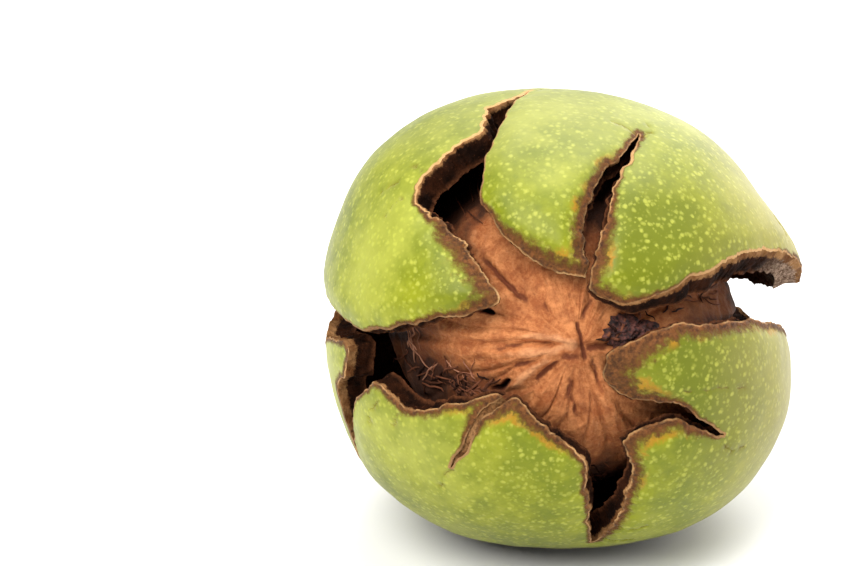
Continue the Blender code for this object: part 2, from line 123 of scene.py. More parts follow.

# The torn edge, as in the imported model. At even steps along each lobe's edge, as roll and lift are:
# tan is how far the browned band reaches back over the skin, and ledge how far the dark flesh stands
# out into the split beyond the skin, in mm, partly standing in for the shade there; lit is how deep
# the wall is painted pale as lit, as a part of its height, and jag is how frayed the edge is, 0 to 1.
LOBES = {
    "upper_right": {
        "edge": [(4, 137), (6.5, 122), (6, 111), (5.5, 101), (7.5, 93), (11.5, 86), (15, 78.5),
                 (18.5, 71), (21, 65), (23.5, 57.5), (25.5, 49.5), (26.5, 41.5), (28.5, 33.5),
                 (30.5, 25), (36, 18), (48, 14.5), (66, 14), (79, 16.5), (78, 24.5),
                 (76.5, 31.5), (75, 39.5), (73, 47.5), (71.5, 55.5)],
        "roll": (0.2, 0.2, 0.3, 0.4, 0.5, 0.8, 1.3, 0.8, 0.4, 0.2),
        "lift": (0.3, 2.1, 1.9, 0.7, 0.2, 0.0, -1.0, -0.4, 0.2, 0.0),
        "tan": (0.3, 0.6, 0.7, 0.3, 0.28, 0.4, 1.1, 1.5, 0.4, 0.25),
        "ledge": (0.0, 0.1, 0.7, 1.4, 1.9, 1.6, 0.5, 0.2, 0.3, 0.2),
        "lit": (0.1, 0.12, 0.3, 0.15, 0.1, 0.08, 0.08, 0.1, 0.1),
        "jag": (0.4, 0.5, 0.7, 0.6, 0.5, 0.2, 0.3, 0.5, 0.5),
    },
    "top": {
        "edge": [(69.5, 64), (74.5, 54), (78.5, 48), (82, 41), (84.5, 35.5), (86, 30), (85.5, 25.5),
                 (82.5, 22.5), (83.5, 18), (91.5, 18.5), (102.5, 19.5), (112, 21.5), (118, 25),
                 (121, 29), (122.5, 33.5), (122.5, 38.5), (122, 43), (119.5, 48), (116, 53.5),
                 (112.5, 58), (109, 63.5), (105, 71), (101, 80)],
        "roll": (0.4, 1.5, 1.7, 1.4, 1.0, 0.8, 0.3),
        "lift": (0.0, -0.2, -0.7, -1.2, -0.5, 0.0, 0.0),
        "tan": (0.7, 1.1, 1.5, 1.9, 2.0, 0.8, 0.25, 0.2, 0.2),
        "ledge": (0.2, 0.35, 0.3, 0.1, 0.0, 0.1, 0.2, 0.3, 0.2),
        "lit": (0.15, 0.2, 0.15, 0.1, 0.1, 0.08, 0.08, 0.1),
        "jag": (0.5, 0.5, 0.5, 0.5, 0.4, 0.2, 0.2, 0.3),
    },
    "upper_left": {
        "edge": [(96, 90), (100, 83), (105, 76.5), (108.5, 75), (110.5, 69), (113.5, 63.5),
                 (118.5, 61), (123, 60), (127, 58.5), (131.5, 57.5), (135, 56), (138, 54.5),
                 (137.5, 49.5), (137.5, 45), (138, 42), (137, 38), (140, 31.5), (143, 26),
                 (148, 22), (156, 24), (163, 28.5), (168, 34.5), (172, 41), (176, 51), (177, 59),
                 (176, 67), (174.5, 76), (173, 87), (172.5, 100)],
        "roll": (0.2, 0.3, 0.3, 0.5, 1.4, 1.5, 1.2, 0.9, 0.4),
        "lift": (0.0, 0.0, 0.3, 0.2, -0.9, -0.8, 0.3, 0.6, 0.0),
        "tan": (0.2, 0.2, 0.2, 0.25, 0.5, 1.9, 2.3, 0.8, 0.4, 0.3, 0.25),
        "ledge": (0.2, 0.5, 0.8, 0.8, 0.4, 0.2, 0.0, 0.2, 0.5, 0.8, 0.6),
        "lit": (0.25, 0.15, 0.08, 0.08, 0.1, 0.15, 0.12, 0.08, 0.06, 0.06),
        "jag": (0.9, 1.0, 1.0, 1.0, 0.9, 0.8, 0.7, 0.4, 0.2, 0.3, 0.3),
    },
    "left_rim": {
        "edge": [(176, 112), (182, 100), (183.5, 88), (182, 78), (181, 70), (183.5, 66),
                 (187, 67.5), (190, 68.5), (192, 74.5), (196, 79.5), (201, 81), (207, 82.5)],
        "roll": (0.2, 0.3, 0.3, 0.2),
        "lift": (0.0, 0.2, 0.2, 0.0),
        "tan": (0.4, 0.6, 0.6, 0.4),
        "ledge": (0.2, 0.5, 0.5, 0.2),
        "lit": (0.25, 0.32, 0.32, 0.25),
        "jag": (0.7, 0.9, 0.9, 0.6),
    },
    "bottom_left": {
        "edge": [(212, 85), (207.5, 77.5), (202.5, 71.5), (198, 67), (194, 61.5), (192, 56.5),
                 (195, 52), (199.5, 48), (202, 44), (203, 37), (206, 29.5), (209.5, 23.5),
                 (212, 22), (214.5, 26.5), (217, 31.5), (220, 36), (222.5, 40)],
        "roll": (0.2, 0.4, 0.5, 0.5, 0.8, 0.5, 0.2),
        "lift": (0.2, 0.4, 0.1, 0.0, -0.7, -0.3, 0.0),
        "tan": (0.25, 0.3, 0.5, 0.8, 0.8, 1.1, 1.3, 0.5, 0.25),
        "ledge": (0.2, 0.4, 0.4, 0.4, 0.3, 0.2, 0.1, 0.0, 0.0),
        "lit": (0.25, 0.15, 0.12, 0.2, 0.3, 0.4),
        "jag": (0.3, 0.4, 0.6, 0.5, 0.3, 0.2, 0.1),
    },
    "bottom": {
        "edge": [(225, 44), (223.5, 39), (221, 34), (218.5, 29), (217, 25), (216, 20.5),
                 (223, 19), (236, 20), (248, 22.5), (258, 24.5), (265, 26), (271, 30),
                 (272.5, 38), (274, 47.5), (274, 57.5)],
        "roll": (0.2, 0.5, 1.2, 1.0, 0.7, 0.4, 0.2),
        "lift": (0.0, 0.1, -0.7, -0.8, -0.4, 0.0, 0.0),
        "tan": (0.25, 0.25, 1.1, 1.8, 1.2, 0.9, 0.7, 0.5, 0.4),
        "ledge": (0.0, 0.0, 0.1, 0.2, 0.2, 0.4, 0.6, 0.6, 0.2),
        "lit": (0.4, 0.35, 0.2, 0.15, 0.15, 0.15),
        "jag": (0.1, 0.2, 0.4, 0.7, 0.7, 0.5),
    },
    "bottom_right": {
        "edge": [(275, 68), (278, 63), (281.5, 56.5), (285, 49.5), (289, 42), (292.5, 35.5),
                 (292.5, 30), (293.5, 27.5), (299, 26), (307.5, 26), (315.5, 27), (320.5, 30),
                 (323, 34), (323.5, 38.5)],
        "roll": (0.3, 0.9, 1.2, 1.3, 1.5, 1.0, 0.3),
        "lift": (0.0, 0.1, 0.0, -0.6, -0.4, 0.0, 0.0),
        "tan": (0.6, 0.8, 0.9, 1.2, 1.4, 1.4, 1.1, 0.4),
        "ledge": (0.3, 0.6, 0.5, 0.3, 0.2, 0.3, 0.4, 0.0),
        "lit": (0.2, 0.15, 0.15, 0.15, 0.15, 0.2),
        "jag": (0.7, 0.8, 0.6, 0.4, 0.4, 0.5),
    },
    "right": {
        "edge": [(326, 44.5), (326.5, 38.5), (328, 32), (327, 26), (322, 22), (315, 18),
                 (309, 15), (306, 12), (309, 8.5), (326, 7), (342, 6.5), (355, 8), (362, 11.5),
                 (367, 15), (370.5, 18.5), (370, 24), (367, 33), (365.5, 41), (364.5, 47.5),
                 (363.5, 53), (362, 58.5), (360.5, 64), (358.5, 71), (356, 80), (354, 90),
                 (353, 101), (353.5, 113), (356.5, 124)],
        "roll": (0.3, 0.8, 1.5, 1.0, 0.9, 0.7, 0.8, 0.6, 0.3, 0.2),
        "lift": (0.0, -0.2, -1.5, -0.9, -0.3, 0.1, -0.4, -0.9, -0.5, -0.2),
        "tan": (0.25, 0.5, 1.8, 4.4, 4.8, 3.2, 1.6, 1.2, 1.0, 0.8, 0.5, 0.3),
        "ledge": (0.0, 0.3, 0.3, 0.1, 0.0, 0.0, 0.1, 0.2, 0.2, 0.4, 0.3, 0.0),
        "lit": (0.2, 0.2, 0.15, 0.1, 0.1, 0.15, 0.15, 0.12, 0.1),
        "jag": (0.3, 0.4, 0.3, 0.2, 0.3, 0.4, 0.5, 0.6, 0.5),
    },
}
PER_EDGE = ("roll", "lift", "tan", "ledge", "lit", "jag")

# Mesh spacing: the torn edge, then the skin and the lining as (step, from, to) mm off the edge
EDGE_STEP = 0.2
BEND_STEP = 1.05
SKIN_BANDS = ((0.24, 0.13, 1.2), (0.5, 1.2, 4.5), (0.85, 4.5, 99.0))
LINING_BANDS = ((1.2, 0.7, 99.0),)
WALL_ROWS = 9

# The flared end of the upper right lobe, where the flesh has dried pale: its place and reach in mm
FLARED_END = (23.5, 5.0, 1.0)
FLARED_REACH = 8.5

# The round scar at the stem end, where the fruit hung: its reach and how deep it is dented, in mm
STEM_SCAR_REACH = 1.8
STEM_SCAR_DEPTH = 0.5

# Where the skin is paler (above 0) or a deeper green (below 0): azimuth, colatitude, reach in mm
# and tone. The small pale spot at azimuth 98 is a painted highlight.
SKIN_TONES_AND_HIGHLIGHT = (
    (53.0, 38.0, 9.0, -0.8),
    (42.0, 23.0, 6.0, -0.35),
    (352.0, 32.0, 9.0, -0.85),
    (310.0, 42.0, 8.0, -0.25),
    (333.0, 44.0, 6.0, -0.4),
    (59.0, 76.0, 8.0, 0.3),
    # A painted highlight, not paler skin
    (98.0, 42.5, 2.4, 0.7),
    (150.0, 32.0, 6.0, -0.9),
    (147.0, 53.0, 8.0, 0.75),
    (165.0, 62.0, 7.0, 0.4),
    (190.0, 82.0, 6.0, 0.9),
    (203.0, 68.0, 6.0, 0.5),
    (211.0, 48.0, 7.0, 0.5),
    (230.0, 52.0, 7.0, 0.25),
    (108.0, 29.0, 5.0, -0.35),
    (100.0, 70.0, 8.0, 0.4),
)

# Fine cracks and scars in the skin: a line of (azimuth, colatitude), then its depth in mm
SCARS = (
    (((139.5, 57.5), (143.0, 59.0), (146.5, 59.5)), 0.30),
    (((137.0, 62.0), (140.0, 64.5), (142.5, 66.0)), 0.22),
    (((131.0, 60.0), (132.5, 63.5)), 0.22),
    (((69.5, 63.0), (66.5, 66.5), (67.5, 70.0)), 0.30),
    (((70.5, 63.5), (74.5, 65.5), (79.0, 66.0)), 0.25),
    (((323.7, 44.0), (323.0, 49.0), (325.0, 53.0), (325.5, 57.0)), 0.25),
    (((334.0, 27.0), (338.0, 31.0), (341.0, 36.5), (342.0, 45.0)), 0.16),
    (((19.5, 77.0), (22.5, 79.0), (26.0, 79.5)), 0.30),
    (((17.0, 84.0), (20.5, 85.5), (24.0, 85.0)), 0.25),
    (((276.0, 63.5), (280.0, 66.5), (286.0, 67.0)), 0.25),
    (((280.5, 57.0), (285.0, 59.0), (291.0, 58.5)), 0.22),
    (((225.0, 44.0), (225.5, 48.5), (227.5, 52.0)), 0.30),
    (((197.0, 55.0), (199.5, 59.0), (203.0, 61.5)), 0.22),
    (((201.5, 50.0), (205.0, 53.0)), 0.22),
    (((96.0, 90.0), (93.0, 94.0), (91.0, 98.0)), 0.30),
    (((176.0, 112.0), (174.0, 117.0), (174.5, 122.0)), 0.30),
    (((4.0, 137.0), (1.0, 142.0), (2.0, 147.0)), 0.30),
)
SCAR_STEP = 0.25
SCAR_HALF_WIDTH = 0.13
SCAR_WANDER = ((0.35, 1.4), (0.15, 0.5))

# How far a scar's dent and its stain reach, in its half widths
SCAR_DENT = 1.5
SCAR_STAIN = 1.3

# How far the skin's other points stay off a scar, in its half widths, and how far a scar's points
# stay off the torn edge, in mm
CLEAR_OF_SCAR = 2.6
CLEAR_OF_EDGE = 0.12

# The nut's relief, in millimetres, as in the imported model, but its furrows are shallower
SUTURE_HEIGHT = 0.7
SUTURE_WIDTH = 1.7
SUTURE_GROOVE = 0.5
SUTURE_GROOVE_WIDTH = 0.45
NUT_POINT_HEIGHT = 1.0
NUT_POINT_WIDTH = 2.4
RIDGE_HEIGHT = 0.55
RIDGES_AROUND = 2.6
RIDGES_ALONG = 1.3
RIDGE_SWAY = 0.35
RIDGE_SWAYS = 1.5
FURROW_DEPTH = 0.36
FURROW_WIDTH = 0.22
FURROWS_PER_RIDGE = 1.3

# How far from the nut's axis its ridges start, over how many mm they rise, and the same for its net
RIDGES_CLEAR = (1.0, 5.0)
NET_CLEAR = (0.5, 2.5)

# The nut's fine mesh: segments round it, and rings before and behind its waist
NUT_SEGMENTS = 440
NUT_FRONT_RINGS = 150
NUT_BACK_RINGS = 50
FRONT_CROWDING = 1.15

# The nut's fine relief: fibres as (height, how fine, shift), a net of veins as (height, size,
# shift) with how wide they are, pits, and how far the lines below wander, over what distance
FIBRES = ((0.10, 11.0, 0.0), (0.07, 23.0, 4.0))
FIBRE_STRETCH = 0.22
VEINS = ((0.14, 3.2, 6.0), (0.07, 1.5, 2.0))
VEIN_WIDTH = 0.5
PIT_DEPTH = 0.10
PIT_SHARE = 0.15
LINE_WANDER = (0.22, 0.9)

# Lines on the nut's front, in mm across its axis: points, then how far they stand out, half width
NUT_LINES = (
    (((0.0, 0.3), (-2.6, 0.75), (-5.5, 0.8), (-8.5, 0.2)), 0.42, 0.42),
    (((0.0, 0.1), (-2.8, -0.5), (-5.5, -1.0), (-9.0, -1.5)), 0.38, 0.5),
    (((-1.5, 0.2), (-4.5, 0.25), (-7.5, -0.45), (-12.0, -0.6)), -0.35, 0.25),
    (((-1.8, -1.6), (-3.6, -3.0), (-4.9, -5.2)), -0.42, 0.3),
    (((-2.8, -1.4), (-5.4, -3.0), (-7.0, -5.4)), 0.3, 0.45),
    (((-3.4, -1.1), (-6.6, -2.5), (-9.6, -5.0)), -0.3, 0.28),
    (((-9.2, 8.6), (-7.2, 6.2), (-5.6, 4.8), (-4.2, 3.2)), -0.5, 0.3),
    (((-0.7, -3.4), (-0.9, -5.6), (0.2, -8.2), (1.6, -11.0)), -0.26, 0.3),
    (((1.4, -1.4), (1.9, -3.4), (2.4, -5.2)), -0.35, 0.28),
    (((3.0, -1.4), (3.2, -3.6), (4.4, -5.6)), -0.35, 0.28),
    (((-0.15, 2.4), (0.2, 0.6), (0.45, -1.0), (0.6, -2.0)), -0.5, 0.2),
    # The two lines sunk 1.6 mm are painted near black, as shadowed slots
    (((-9.8, 3.25), (-8.9, 3.25), (-8.1, 2.95)), -1.6, 0.26),
    (((-8.4, -5.2), (-7.6, -4.5), (-6.7, -3.6)), -1.6, 0.26),
    (((0.6, -0.2), (2.6, -0.3), (4.6, 0.3)), -0.32, 0.34),
    (((0.3, 2.4), (1.4, 4.2), (1.2, 7.0)), -0.3, 0.3),
    (((-2.4, 1.6), (-3.2, 4.2), (-2.6, 7.4)), -0.22, 0.28),
)

# The hollow beside the nut's point, painted as dark shadow: middle, half extents across the axis,
# depth
HOLLOW_MIDDLE = (-1.0, -1.2)
HOLLOW_HALF = (1.2, 0.5)
HOLLOW_DEPTH = 0.28

# Painted shade on the nut, in patches: azimuth, colatitude, reach in degrees and how dark
NUT_PAINTED_SHADES = (
    (130.0, 76.0, 13.0, 0.9),
    (80.0, 48.0, 15.0, 0.9),
    (272.0, 62.0, 16.0, 0.6),
    (5.0, 44.0, 14.0, 0.5),
    (200.0, 44.0, 9.0, 0.45),
    (196.0, 58.0, 14.0, 0.8),
    (212.0, 32.0, 10.0, 0.55),
)
PAINTED_SHADE_WIDTH = 0.42

# The shell is painted with shade from this colatitude on, over so many degrees, and beside the torn
# edge, within so many mm, from another
PAINTED_SHADE_OUTWARDS = (38.0, 44.0)
PAINTED_SHADE_BESIDE = (24.0, 30.0)
BESIDE_EDGE = 1.8
BESIDE_DARKNESS = 0.45

# The azimuths at which the painted shade on the nut is lighter, how wide in radians, and by how much
NUT_LESS_SHADED_SIDES = (165.0, 186.0, 340.0)
LESS_SHADE_WIDTH = 0.35
LESS_SHADE_DEPTH = 0.25

# Strands of dried flesh on the nut: how many, the middle and half extents of the patch that they
# start in, and the way that they run in degrees with its spread, across the axis; length and
# thickness in mm; how far they stand off the shell; and whether they are dark flesh
STRANDS = (
    (3, (-16.0, 0.9), (0.6, 0.5), -80.0, 6.0, 4.6, 0.12, 0.3, False),
    (5, (-15.4, -1.2), (1.8, 1.8), -85.0, 16.0, 3.2, 0.09, 0.3, False),
    (7, (-12.4, -3.0), (2.6, 1.6), -60.0, 30.0, 2.4, 0.07, 0.2, False),
    (46, (-12.6, -4.4), (3.2, 1.1), -20.0, 60.0, 1.8, 0.12, 0.25, True),
    (16, (-11.5, 13.4), (2.8, 2.0), 135.0, 40.0, 2.8, 0.10, 0.5, True),
    (12, (2.2, -14.5), (2.0, 1.8), -80.0, 40.0, 2.8, 0.09, 0.4, True),
    (18, (10.5, 3.6), (4.0, 1.2), 20.0, 40.0, 2.6, 0.09, 0.5, True),
    (22, (5.1, 0.9), (2.2, 1.1), 10.0, 100.0, 1.7, 0.16, 0.7, True),
)
STRAND_SEGMENTS = 14
STRAND_SIDES = 5

# How a strand's heading strays in radians, as (how far, how often, shift), and how its height
# varies, as (least, how much more, how often, shift)
STRAND_STRAYS = ((0.8, 2.2, 0.3), (0.4, 6.0, 1.7))
STRAND_RISE = (0.25, 1.9, 1.8, 4.1)

# A strand's length and thickness vary by so much, and it is this thin at its ends
STRAND_LENGTHS = (0.5, 1.3)
STRAND_THICKNESSES = (0.6, 1.4)
STRAND_ENDS = 0.35

# The two kinds of strands: piece, whether they are dark flesh, seed, slot, and their colours
STRAND_KINDS = (
    ("strands_pale", False, 5, "nut_shell", (0.16, 0.055, 0.028), (0.42, 0.19, 0.11)),
    ("strands_dark", True, 17, "husk_skin", (0.015, 0.005, 0.003), (0.15, 0.052, 0.026)),
)

# Flesh that still holds the narrow slit together: its line, half width and how deep it lies in mm,
# and its depth, pale part and painted lit part as the wall's
FILLING_LINE = ((225.0, 45.5), (223.0, 39.5), (220.5, 35.0), (217.8, 30.3), (215.8, 25.8),
                (214.2, 22.5))
FILLING_HALF_WIDTH = 0.6
FILLING_UNDER = 0.25
FILLING_VALUES = {"depth": 0.2, "pale": 0.0, "lit": 0.24}
FILLING_STEPS = 24
FILLING_ACROSS = 12

# The dark shred of flesh on the nut: its middle and half extents across the axis, and its height
SHRED_MIDDLE = (5.2, 0.9)
SHRED_HALF = (2.8, 1.9)
SHRED_HEIGHT = 1.3
SHRED_RINGS = 28
SHRED_SEGMENTS = 96

# How its rim strays, as (how far, how often, shift); the shares of its height that are even, lumpy
# and ridged; the size of its lumps and ridges, and how far its rim is tucked into the shell, in mm
SHRED_RIM = ((0.38, 1.6, 2.0), (0.22, 5.0, 7.0))
SHRED_PARTS = (0.55, 0.5, 0.35)
SHRED_LUMP = 1.1
SHRED_RIDGE = 0.55
SHRED_TUCK = 0.35

# Colours, as linear red, green and blue; a pair is a range from dark to light
GREENS = ((0.118, 0.144, 0.002), (0.205, 0.225, 0.006))
DULL_GREEN = (0.095, 0.115, 0.002)
DEEP_GREEN = (0.100, 0.118, 0.0008)
PALE_GREEN_AND_HIGHLIGHT = (0.33, 0.345, 0.055)
FRECKLE = (0.36, 0.375, 0.052)
# Painted warm rim light on the right flank
PAINTED_WARM_RIM_LIGHT = (0.32, 0.25, 0.085)
# Painted contact shade on the underside, where the fruit lies on the floor
PAINTED_CONTACT_SHADE = (0.045, 0.030, 0.008)
# Painted light on the top of the fruit
PAINTED_CROWN_LIGHT = (0.31, 0.31, 0.16)
OLIVE_BROWNS = ((0.058, 0.016, 0.001), (0.112, 0.036, 0.003))
DRIED_BROWNS = ((0.036, 0.008, 0.002), (0.150, 0.047, 0.010))
YELLOWED = (0.34, 0.145, 0.005)
DRIED_LIP = (0.50, 0.285, 0.115)
SCAR_BROWN = (0.13, 0.05, 0.015)
SKIN_SHEEN = (1.0, 0.88, 0.70, 1.0)
FLESH_DARKS = ((0.006, 0.0018, 0.0006), (0.028, 0.008, 0.0025))
FLESH_SHREDS = (0.16, 0.06, 0.025)
LINING_BROWN = (0.11, 0.038, 0.015)
FLARED_GREYS = ((0.10, 0.055, 0.036), (0.42, 0.29, 0.205))
PAINTED_LIT_WALL_TANS = ((0.13, 0.05, 0.016), (0.34, 0.175, 0.07))
SHELL_BROWNS = ((0.28, 0.080, 0.023), (0.52, 0.200, 0.070))
SHELL_HAIRS = (0.62, 0.31, 0.14)
SHELL_RIDGES = (0.60, 0.31, 0.15)
SHELL_MOTTLE = (0.20, 0.055, 0.018)
SHELL_PAINTED_CREVICE_SHADE = (0.095, 0.020, 0.008)
SHELL_PAINTED_HOLLOW_SHADOW = (0.008, 0.004, 0.006)
SHELL_PAINTED_FURROW_SHADE = (0.13, 0.032, 0.011)
SHELL_PAINTED_SHADE = (0.075, 0.021, 0.008)
SHELL_PAINTED_DEEP_SHADE = (0.020, 0.007, 0.004)
SHRED_DARKS = ((0.012, 0.004, 0.004), (0.105, 0.032, 0.024))
SHRED_FLECKS = (0.20, 0.085, 0.05)
FLOOR_GREY = (0.72, 0.72, 0.715)
FLOOR_HALF = 2.5

# The camera, worked out from the photograph: pixels are in its 850 x 566 frame
FRAME_WIDTH = 850.0
FRAME_HEIGHT = 566.0
FRUIT_PIXEL = (562.0, 317.5)
FRUIT_PIXELS_RADIUS = 233.0
FRUIT_RADIUS_SEEN = 25.0
CAMERA_AZIMUTH = -4.5
CAMERA_ELEVATION = 22.0
CAMERA_DISTANCE = 380.0
SENSOR_WIDTH = 36.0

# Softboxes as (name, azimuth, elevation, brightness, size in metres, colour), and their distance
LIGHT_DISTANCE = 2.2
LIGHTS = (
    ("key", -36.0, 48.0, 1.62, 1.5, (1.0, 0.985, 0.96)),
    ("top", 130.0, 72.0, 1.3, 2.0, (1.0, 1.0, 1.0)),
    ("rim", 146.0, 16.0, 0.5, 1.6, (1.0, 0.96, 0.90)),
    ("right", 64.0, 20.0, 0.2, 1.8, (1.0, 0.98, 0.95)),
)

# The light all round: the way that it is brightest, and how bright it is away from there and there
BRIGHT_WAY = (0.70, 0.71, 0.0)
SURROUNDINGS = (0.16, 1.05)


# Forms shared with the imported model


def smooth_step(value):
    """0 below 0, 1 above 1, and a smooth rise between them."""
    part = np.clip(value, 0.0, 1.0)
    return part * part * (3.0 - 2.0 * part)


def noise_at(points):
    """Smooth noise from about -1 to 1 at each point, the same on each run.

    A number added to the points picks another place in the noise, wherever it is used again.
    """
    return np.array([noise.noise(point) for point in points.tolist()])


def lumps(points, octaves):
    """The sum of noise of each height, size and shift at each point."""
    return sum(height * noise_at(points / size + shift) for height, size, shift in octaves)


def noise_along_axes(points):
    """Smooth noise from about -1 to 1 along each of the three axes at each point."""
    return np.column_stack([noise_at(points + shift) for shift in NOISE_SHIFTS])


def husk_radius(azimuth):
    """The husk's radius at its waist, which is a little out of round."""
    swell = sum(height * np.cos(waves * (azimuth - math.radians(crest)))
                for waves, height, crest in HUSK_WAVES)
    return HUSK_RADIUS * (1.0 + swell)


def skin(azimuth, colatitude):
    """The whole fruit's outer skin and its outward normals, at angles in radians."""
    radius = husk_radius(azimuth)
    height = np.where(colatitude < math.pi / 2, HUSK_TIP, HUSK_STEM)
    across = radius * np.sin(colatitude)
    points = np.stack([across * np.cos(azimuth), across * np.sin(azimuth),
                       height * np.cos(colatitude)], axis=-1)
    normals = points / np.stack([radius**2, radius**2, height**2], axis=-1)
    return points, normals / np.linalg.norm(normals, axis=-1, keepdims=True)


def angles_of(points):
    """The azimuth and colatitude of points on the skin, in radians."""
    azimuth = np.arctan2(points[:, 1], points[:, 0])
    across = np.hypot(points[:, 0], points[:, 1]) / husk_radius(azimuth)
    height = points[:, 2] / np.where(points[:, 2] > 0, HUSK_TIP, HUSK_STEM)
    return azimuth, np.arctan2(across, height)


def wall(colatitude):
    """The husk's thickness: thin at the lobes' tips, and thickest behind the nut's stem end."""
    change = math.radians(WALL_CHANGE)
    towards_waist = smooth_step((colatitude - math.radians(TIP_WALL_END)) / change)
    towards_stem = smooth_step((colatitude - math.radians(STEM_WALL_START)) / change)
    front = WALL_AT_TIP + (WALL_AT_WAIST - WALL_AT_TIP) * towards_waist
    return front + (WALL_AT_STEM - WALL_AT_WAIST) * towards_stem


def blend(start, end, start_knot, end_knot, knot):
    """From start to end as the knot goes from the first knot to the last."""
    return (start * (end_knot - knot) + end * (knot - start_knot)) / (end_knot - start_knot)


def curve_through(rows, per_span=24):
    """A closed smooth curve through rows that start with a point: centripetal Catmull-Rom."""
    found = []
    for i in range(len(rows)):
        a, b, c, d = (rows[(i + k) % len(rows)] for k in (-1, 0, 1, 2))
        pairs = (a, b), (b, c), (c, d)
        spans = [math.sqrt(np.linalg.norm((end - start)[:3])) for start, end in pairs]
        ka, kb, kc, kd = np.cumsum([0.0, *spans])
        knot = np.linspace(kb, kc, per_span, endpoint=False)[:, None]
        ab = blend(a, b, ka, kb, knot)
        bc = blend(b, c, kb, kc, knot)
        cd = blend(c, d, kc, kd, knot)
        abc = blend(ab, bc, ka, kc, knot)
        bcd = blend(bc, cd, kb, kd, knot)
        found.append(blend(abc, bcd, kb, kc, knot))
    return np.concatenate(found)


def lobe_rows(lobe):
    """A lobe's edge as rows of x, y, z and the values in PER_EDGE."""
    points, _ = skin(*np.radians(np.array(lobe["edge"], float)).T)
    along = np.linspace(0.0, 1.0, len(points), endpoint=False)
    bends = [np.interp(along, np.linspace(0.0, 1.0, len(lobe[k])), lobe[k]) for k in PER_EDGE]
    return np.column_stack([points, *bends])


def ragged(points, octaves):
    """How far each point of the torn edge strays, in mm, sideways and along."""
    strayed = np.zeros_like(points)
    for height, distance in octaves:
        strayed += height * noise_along_axes(points / distance)
    return strayed


def frayed(points):
    """How far each point of the edge strays where it is frayed: sharp teeth, in mm."""
    strayed = np.zeros_like(points)
    for height, distance in FRAYED:
        teeth = noise_along_axes(points / distance + 20.0)
        strayed += height * (0.5 - 2.0 * np.abs(teeth))
    return strayed


def side_of(start, end, point):
    """Above 0 where the point of the plane is left of the line from start to end."""
    span, off = end - start, point - start
    return span[:, 0] * off[:, 1] - span[:, 1] * off[:, 0]


def crossed(flat):
    """Which points of a closed line in the plane are near a place where it crosses itself."""
    count = len(flat)
    following = np.roll(flat, -1, axis=0)
    found = np.zeros(count, bool)
    for k in range(2, count // 2):
        start, end = np.roll(flat, -k, axis=0), np.roll(following, -k, axis=0)
        apart = side_of(flat, following, start) * side_of(flat, following, end) < 0
        apart &= side_of(start, end, flat) * side_of(start, end, following) < 0
        for i in np.flatnonzero(apart):
            near = np.arange(-CALM_REACH, CALM_REACH + 2)
            between = np.arange(k) if k < CROSSING_LOOP else near
            found[np.concatenate([i + near, i + k + near, i + between]) % count] = True
    return found


def torn_edge(step, fray):
    """The torn edge, about step mm apart: rows of azimuth, colatitude and the PER_EDGE values."""
    fine = curve_through(np.concatenate([lobe_rows(lobe) for lobe in LOBES.values()]))
    closed = np.concatenate([fine, fine[:1]])
    length = np.cumsum([0.0, *np.linalg.norm(np.diff(closed[:, :3], axis=0), axis=1)])
    at = np.linspace(0.0, length[-1], round(length[-1] / step), endpoint=False)
    even = np.column_stack([np.interp(at, length, column) for column in closed.T])
    torn = even[:, :3] + ragged(even[:, :3], RAGGED)
    azimuth, colatitude = angles_of(torn)
    if fray:
        uneven = FRAY_MEAN + lumps(even[:, :3], FRAY_UNEVEN)
        weight = np.clip(even[:, -1] * uneven, 0.0, 1.0)
        teeth = frayed(even[:, :3])
        near = range(-CALM_REACH, CALM_REACH + 1)
        caught = np.ones(len(even), bool)
        while caught.any():
            azimuth, colatitude = angles_of(torn + weight[:, None] * teeth)
            caught = crossed(on_plane(azimuth, colatitude))
            calm = sum(np.roll(caught, k) for k in near) / len(near)
            weight = weight * (1.0 - CALMING * calm)
    return np.column_stack([azimuth, colatitude, even[:, 3:]])


def off_point(from_axis, clear):
    """From 0 at the nut's point to 1 on its sides: clear is where it starts, and over what."""
    return smooth_step((from_axis - clear[0]) / clear[1])


def nut_relief(points, azimuth, colatitude):
    """How far the shell stands out from a plain oval: seam, point, long ridges and furrows."""
    off_seam = points[:, 1]
    seam = SUTURE_HEIGHT * np.exp(-((off_seam / SUTURE_WIDTH) ** 2))
    seam -= SUTURE_GROOVE * np.exp(-((off_seam / SUTURE_GROOVE_WIDTH) ** 2))
    from_axis = np.hypot(points[:, 0], points[:, 1])
    point = NUT_POINT_HEIGHT * np.exp(-((from_axis / NUT_POINT_WIDTH) ** 2)) * (points[:, 2] > 0)
    around = np.column_stack([np.cos(azimuth), np.sin(azimuth), colatitude])
    sway = RIDGE_SWAY * noise_at(around * RIDGE_SWAYS + 7.0)
    along = np.column_stack([np.cos(azimuth + sway), np.sin(azimuth + sway), colatitude])
    along *= (RIDGES_AROUND, RIDGES_AROUND, RIDGES_ALONG)
    ridges = RIDGE_HEIGHT * noise_at(along + 3.0)
    furrows = np.abs(noise_at(along * FURROWS_PER_RIDGE + 11.0))
    furrows = np.clip(1.0 - furrows / FURROW_WIDTH, 0.0, 1.0) ** 1.5
    return seam + point + off_point(from_axis, RIDGES_CLEAR) * (ridges - FURROW_DEPTH * furrows)


def fruit_turn():
    """The turn from the fruit's axes to the world's: its tip looks along -Y and a little up."""
    return Euler((math.radians(90.0 - AXIS_TILT), 0.0, 0.0)).to_matrix()


